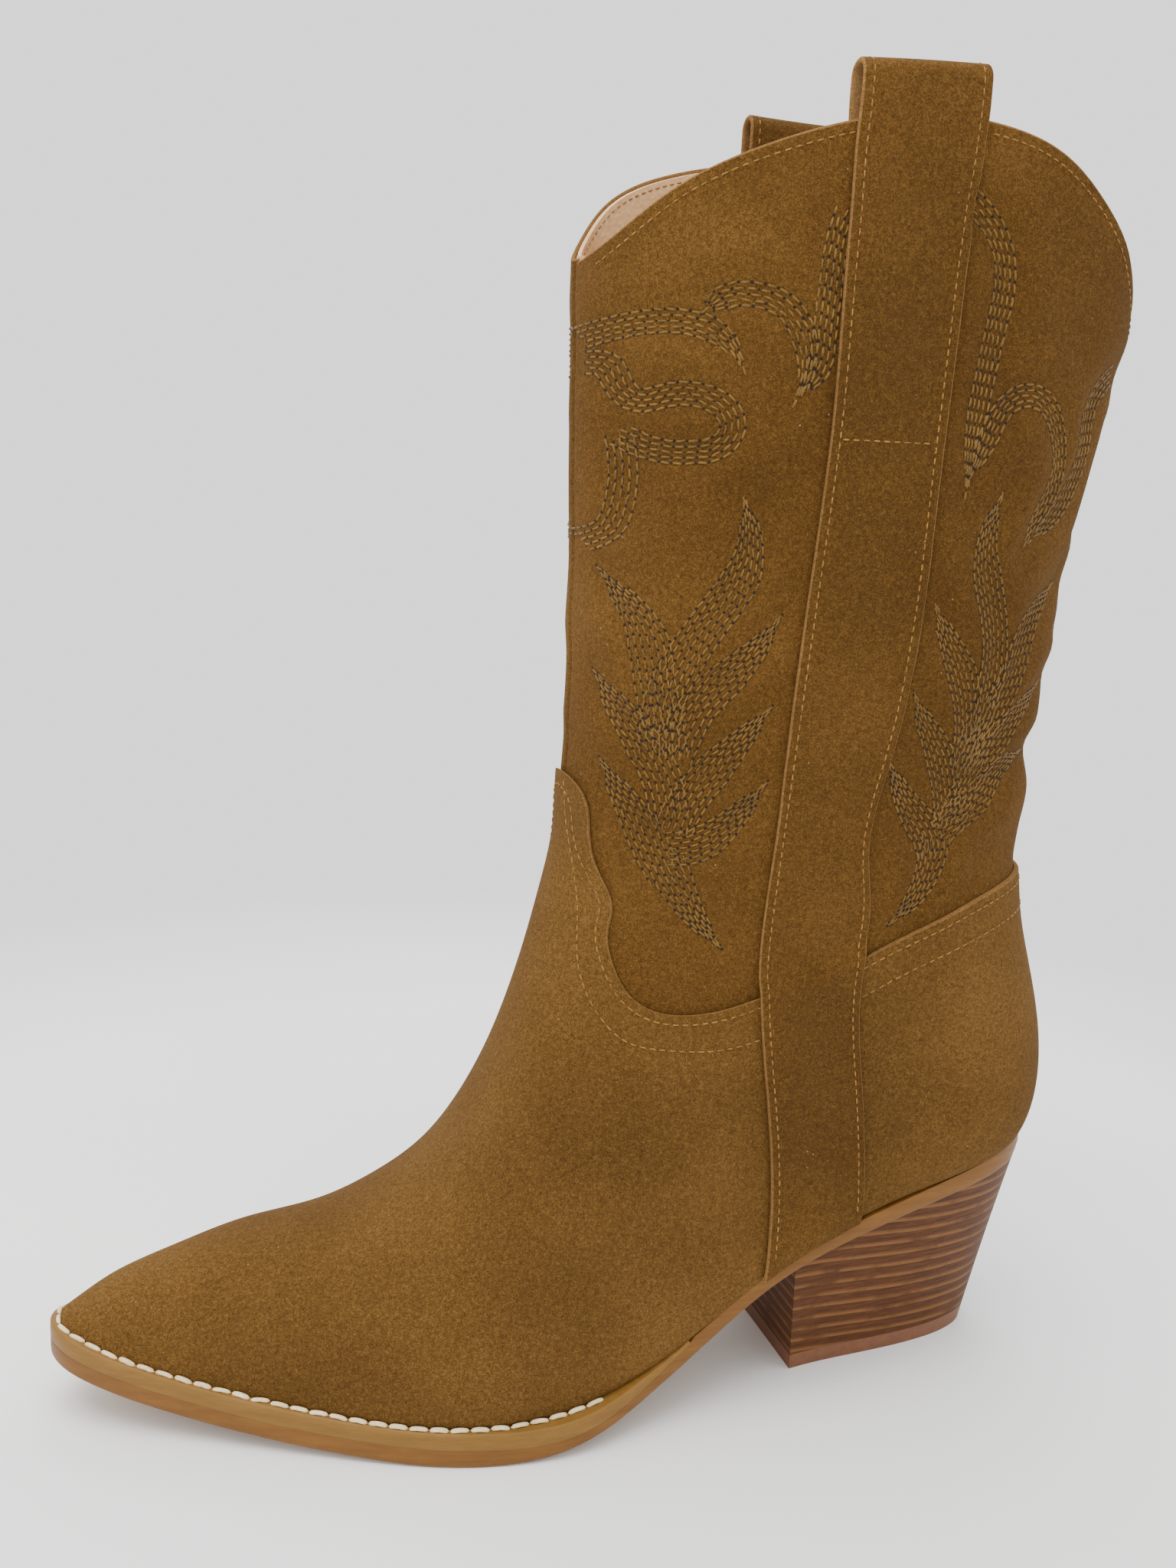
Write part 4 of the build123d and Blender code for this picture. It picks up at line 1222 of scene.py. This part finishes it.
for side, sign in (("lateral", -1), ("medial", 1)):
    seam = Stitching()
    # vamp: one row inside its edge and one along the lining's seam
    edge_row = shifted_line(vamp_line, 2.3)
    edge_row = edge_row[(edge_row[:, 1] < 165) | (edge_row[:, 0] > -3)]
    edge_row = edge_row[edge_row[:, 0] < 42][8:]
    seam.row(*on_surface(edge_row, sign, VAMP_OUT))
    seam.row(*on_surface(smooth_line(VAMP_ROW_2), sign, VAMP_OUT))
    # foxing: two rows under its edge
    for depth in (2.2, 9.3):
        row = shifted_line(foxing_line, depth)
        row = row[(row[:, 0] > 64.5 + 0.06 * depth) & (row[:, 0] < 132)]
        seam.row(*on_surface(row, sign, VAMP_OUT))
    # topline: on the outside and on the lining
    top = shifted_line(smooth_line(topline_by_side[side]), 2.2)
    top = top[(top[:, 0] > -6) & (top[:, 0] < 140)]
    for part in (top[top[:, 0] < 46], top[top[:, 0] > 78]):
        seam.row(*on_surface(part, sign, PANEL_OUT))
    for part in (top[top[:, 0] < 45], top[top[:, 0] > 79]):
        within, normals = on_surface(part, sign, LINING_IN)
        seam.row(within, -normals)
    seam.build(f"seam_stitches_{side}", gold_thread, "suede")


def strap_face(side, share):
    """Outer face of a side strap at one place across it, with its normals."""
    middle, ahead = strap_middle(side, share), strap_middle(side, share + 0.02)
    normal = unit(np.cross(np.gradient(middle, axis=0), ahead - middle))
    normal *= np.sign(normal[10, 1] * LOOP_Y[side])
    return middle + normal * STRAP_THICKNESS / 2, normal


def tapered_rows(line, width, start_taper, end_taper, rows=5):
    """Parallel rows that draw together towards the pointed ends of a band."""
    centre = smooth_line(line, 0.8)
    along = lengths_along(centre)
    share = np.ones(len(centre))
    if start_taper:
        share = np.minimum(share, np.clip(along / start_taper, 0, 1) ** 0.8)
    if end_taper:
        share = np.minimum(share, np.clip((along[-1] - along) / end_taper, 0, 1) ** 0.8)
    for row in range(rows):
        place = row - (rows - 1) / 2
        keep = share >= 0.42 * abs(place) / ((rows - 1) / 2) if place else share >= 0
        spread = shifted_line(centre, 1.0) - centre
        path = centre + spread * (place * width / (rows - 1) * share)[:, None]
        yield row, path[keep]


for side, sign in (("lateral", -1), ("medial", 1)):
    # strap: a row along each edge, over the loop and down inside, and one row across
    strap_seam = Stitching()
    for share in (0.075, 0.925):
        points, normals = strap_face(side, share)
        strap_seam.row(points[3:-2], normals[3:-2], radius=0.2, lift=0.1)
    across_x = strap_x(TAIL_LOWER_Z, np.linspace(0.09, 0.91, 24), side)
    across = np.stack([across_x, np.full(24, TAIL_LOWER_Z)], 1)
    strap_seam.row(*on_surface(across, sign, STRAP_ON_PANEL + STRAP_THICKNESS), radius=0.2, lift=0.1)
    strap_seam.build(f"strap_stitches_{side}", gold_thread, "strap_suede", body=None)
    low, high = bend_at(side, BEND_LOW_Z), bend_at(side, BEND_HIGH_Z)
    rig.blend(strap_seam.piece, "boot", f"{side}_loop", start=low, end=high)

    # decorative stitching of the shaft
    ornament = Stitching()
    bands = [
        (tapered_rows(line, 4 * ROW_SPACING, *BAND_TIPS[name]), 2.6, 0.33) for name, line in BANDS.items()
    ]
    leaves = [(tapered_rows(line, LEAF_WIDTH, 22, 0, rows=7), 2.4, 0.27) for line in LEAVES]
    for rows, length, radius in bands + leaves:
        for row, path in rows:
            ornament.row(
                *on_surface(path, sign, PANEL_OUT), length=length, gap=0.5, radius=radius,
                first=(0.2, 1.7)[row % 2], jitter=0.2,
            )
    ornament.build(f"shaft_embroidery_{side}", olive_thread, "suede", hole_shade_radius=0.42)

# ---------------------------------------------------------------- sole unit
outline = closed_line(SOLE_OUTLINE)
toe_point, heel_point = int(np.argmin(outline[:, 0])), int(np.argmax(outline[:, 0]))
outline = np.roll(outline, -toe_point, axis=0)
heel_point = (heel_point - toe_point) % len(outline)
lateral_half = outline[:heel_point + 1]
medial_half = np.concatenate([outline[heel_point:], outline[:1]])[::-1]


def outsole_upper_z(x):
    """Top of the outsole: under the welt at the front, under the upper at the back."""
    return np.where(x <= WELT_END_X, welt_lower_z(x), feather_z(x))


def sole_layer(name, end_x, top_z, bottom_z, profile, materials):
    """Layer of the sole: a bevelled side wall round the outline and two flat-across faces."""
    x = outline[0, 0] + (outline[heel_point, 0] - outline[0, 0]) * (1 - np.cos(np.linspace(0, pi, 300))) / 2
    x = x[x <= end_x]
    pointed = end_x > outline[heel_point, 0] - 1
    lateral = np.stack([x, np.interp(x, lateral_half[:, 0], lateral_half[:, 1])], 1)
    medial = np.stack([x, np.interp(x, medial_half[:, 0], medial_half[:, 1])], 1)
    last = len(x) - 1
    back = medial[last - 1:0:-1] if pointed else medial[last:0:-1]
    ring = np.concatenate([lateral, back])
    count = len(ring)
    forward = np.roll(ring, -1, axis=0) - np.roll(ring, 1, axis=0)
    outward = unit(np.stack([forward[:, 1], -forward[:, 0]], 1))
    outward *= np.sign(-outward[len(x) // 2, 1])
    top, bottom = top_z(ring[:, 0]), bottom_z(ring[:, 0])
    vertices = np.concatenate([
        np.column_stack([ring + outward * out, top + (bottom - top) * share]) for share, out in profile
    ])
    faces = [quad for level in range(len(profile) - 1) for quad in ring_quads(level * count, count)]
    face_materials = [0] * len(faces)

    def partner(station):
        if station == 0:
            return 0
        if pointed:
            return last if station == last else last + (last - station)
        return last + 1 + (last - station)

    for base, material in ((0, 0), ((len(profile) - 1) * count, 1)):
        for station in range(last):
            corners = [station, station + 1, partner(station + 1), partner(station)]
            face = [base + c for c in dict.fromkeys(corners)]
            faces.append(face if base else face[::-1])
            face_materials.append(material)
    return face_outwards(make_object(name, vertices, faces, materials, face_materials, sharp=50))


# share of the layer's height from its top, and how far the wall stands out there
WELT_PROFILE = [(0, -0.7), (0.03, -0.3), (0.13, -0.02), (0.5, 0.06), (0.88, 0.03), (0.98, -0.03), (1, -0.1)]
OUTSOLE_PROFILE = [
    (0, -0.1), (0.03, -0.02), (0.12, 0.0), (0.5, 0.02), (0.84, -0.06), (0.95, -0.25), (1, -0.6),
]
welt = sole_layer("welt_strip", WELT_END_X, feather_z, welt_lower_z, WELT_PROFILE, [welt_edge, welt_edge])
finish_piece(welt, "boot", "welt_leather", "welt")
outsole = sole_layer(
    "outsole_leather", FAR, outsole_upper_z, outsole_lower_z, OUTSOLE_PROFILE, [outsole_edge, outsole_base],
)
finish_piece(outsole, "boot", "sole_leather", "outsole")


def welt_junction(sign):
    """Line where the upper meets the welt, from the toe back to the waist."""
    u = np.r_[np.linspace(0.02, 2, 60), np.linspace(2.02, 11, 260)]
    high, low = np.full(len(u), 1e-3), np.full(len(u), pi - 1e-3)
    flip = 1 if sign < 0 else -1

    def above(a):
        point = surface(u, flip * a, VAMP_OUT)
        return point[:, 2] - feather_z(point[:, 0]) - 0.7

    starts_above = above(high) > 0
    for _ in range(30):
        middle = (high + low) / 2
        over = above(middle) > 0
        high, low = np.where(over, middle, high), np.where(over, low, middle)
    line = surface(u, flip * high, VAMP_OUT)[starts_above]
    return line[line[:, 0] < WELT_STITCH_END_X]


junction = resample(np.concatenate([welt_junction(-1)[::-1], welt_junction(1)]), 0.8)
forward = np.gradient(junction, axis=0)
outward = unit(np.stack([forward[:, 1], -forward[:, 0], np.zeros(len(forward))], 1))
outward *= np.sign(-outward[20, 1])
welt_seam = Stitching()
welt_seam.row(
    junction + outward * 0.75 + np.array([0, 0, -0.25]), unit(outward * 0.45 + np.array([0, 0, 0.9])),
    length=4.8, gap=0.25, radius=0.66, lift=0.1, jitter=0.3, blunt=6, rings=10,
)
welt_seam.build("welt_stitches", cream_thread, "welt_leather")


# ---------------------------------------------------------------- camera, light and floor
CAMERA_PLACE = np.array([-115.26, -393.46, 239.5])
CAMERA_YAW, CAMERA_PITCH, CAMERA_ROLL = 16.61, 10.68, 2.46
FOCAL_PIXELS, PICTURE_HEIGHT = 2080.9, 2048
SENSOR = 36.0


def make_camera():
    """Camera at the photograph's angle."""
    yaw, pitch, roll = radians(CAMERA_YAW), radians(CAMERA_PITCH), radians(CAMERA_ROLL)
    forward = Vector((sin(yaw) * cos(pitch), cos(yaw) * cos(pitch), -sin(pitch)))
    right = Vector((cos(yaw), -sin(yaw), 0))
    up = right.cross(forward)
    tilted_right = right * cos(roll) + up * sin(roll)
    tilted_up = up * cos(roll) - right * sin(roll)
    data = bpy.data.cameras.new("camera")
    data.sensor_fit = "AUTO"
    data.sensor_width = SENSOR
    data.lens = FOCAL_PIXELS / PICTURE_HEIGHT * SENSOR
    data.clip_start, data.clip_end = 0.01, 20
    camera = bpy.data.objects.new("camera", data)
    rotation = Matrix((tilted_right, tilted_up, -forward)).transposed().to_4x4()
    camera.matrix_world = Matrix.Translation(Vector(CAMERA_PLACE + LAST_TO_BOOT) * MM) @ rotation
    bpy.context.scene.collection.objects.link(camera)
    bpy.context.scene.camera = camera


def area_light(name, place, target, size, power, colour=(1, 1, 1)):
    """Soft studio panel."""
    data = bpy.data.lights.new(name, "AREA")
    data.shape = "RECTANGLE"
    data.size, data.size_y = size
    data.energy = power
    data.color = colour
    light = bpy.data.objects.new(name, data)
    light.location = place
    light.rotation_euler = (Vector(target) - Vector(place)).to_track_quat("-Z", "Y").to_euler()
    bpy.context.scene.collection.objects.link(light)


make_camera()
paper = Nodes("floor_paper", roughness=0.7)
paper.colour(paper.ramp(paper.noise(4, detail=2), (0.4, srgb(236, 236, 238)), (0.6, srgb(240, 240, 241))))
FLOOR_RADIUS, FLOOR_FADE, FLOOR_SIDES = 0.52, 0.22, 96
distance = paper.add("ShaderNodeVectorMath", operation="LENGTH")
paper.link(paper.place, distance.inputs[0])
cover = paper.span(distance.outputs["Value"], FLOOR_RADIUS - FLOOR_FADE, FLOOR_RADIUS, 1.0, 0.0)
paper.link(cover, paper.shader.inputs["Alpha"])
turns = np.linspace(0, 2 * pi, FLOOR_SIDES, endpoint=False)
rim = np.stack([np.cos(turns), np.sin(turns), 0 * turns], 1) * FLOOR_RADIUS / MM
floor = make_object("floor", rim, [list(range(FLOOR_SIDES))], [paper.material], smooth=False)
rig.stage(floor)
world = bpy.data.worlds.new("studio")
bpy.context.scene.world = world
world.use_nodes = True
background = world.node_tree.nodes["Background"]
background.inputs["Color"].default_value = srgb(226, 228, 226)
background.inputs["Strength"].default_value = 2.0
area_light("overhead_panel", (-0.3, -0.2, 1.3), (0, 0, 0.1), (1.2, 1.0), 18, (1.0, 0.98, 0.94))
area_light("front_panel", (-0.9, -0.8, 0.5), (0, 0, 0.12), (0.7, 0.7), 3)
area_light("back_panel", (0.3, 0.9, 0.9), (0, 0, 0.2), (1.0, 0.8), 5)

visual_low, visual_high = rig.bounds()
with open("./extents.json", "w") as size_file:
    boxes = {"cad": [list(cad_low), list(cad_high)], "visual": [list(visual_low), list(visual_high)]}
    json.dump(boxes, size_file)
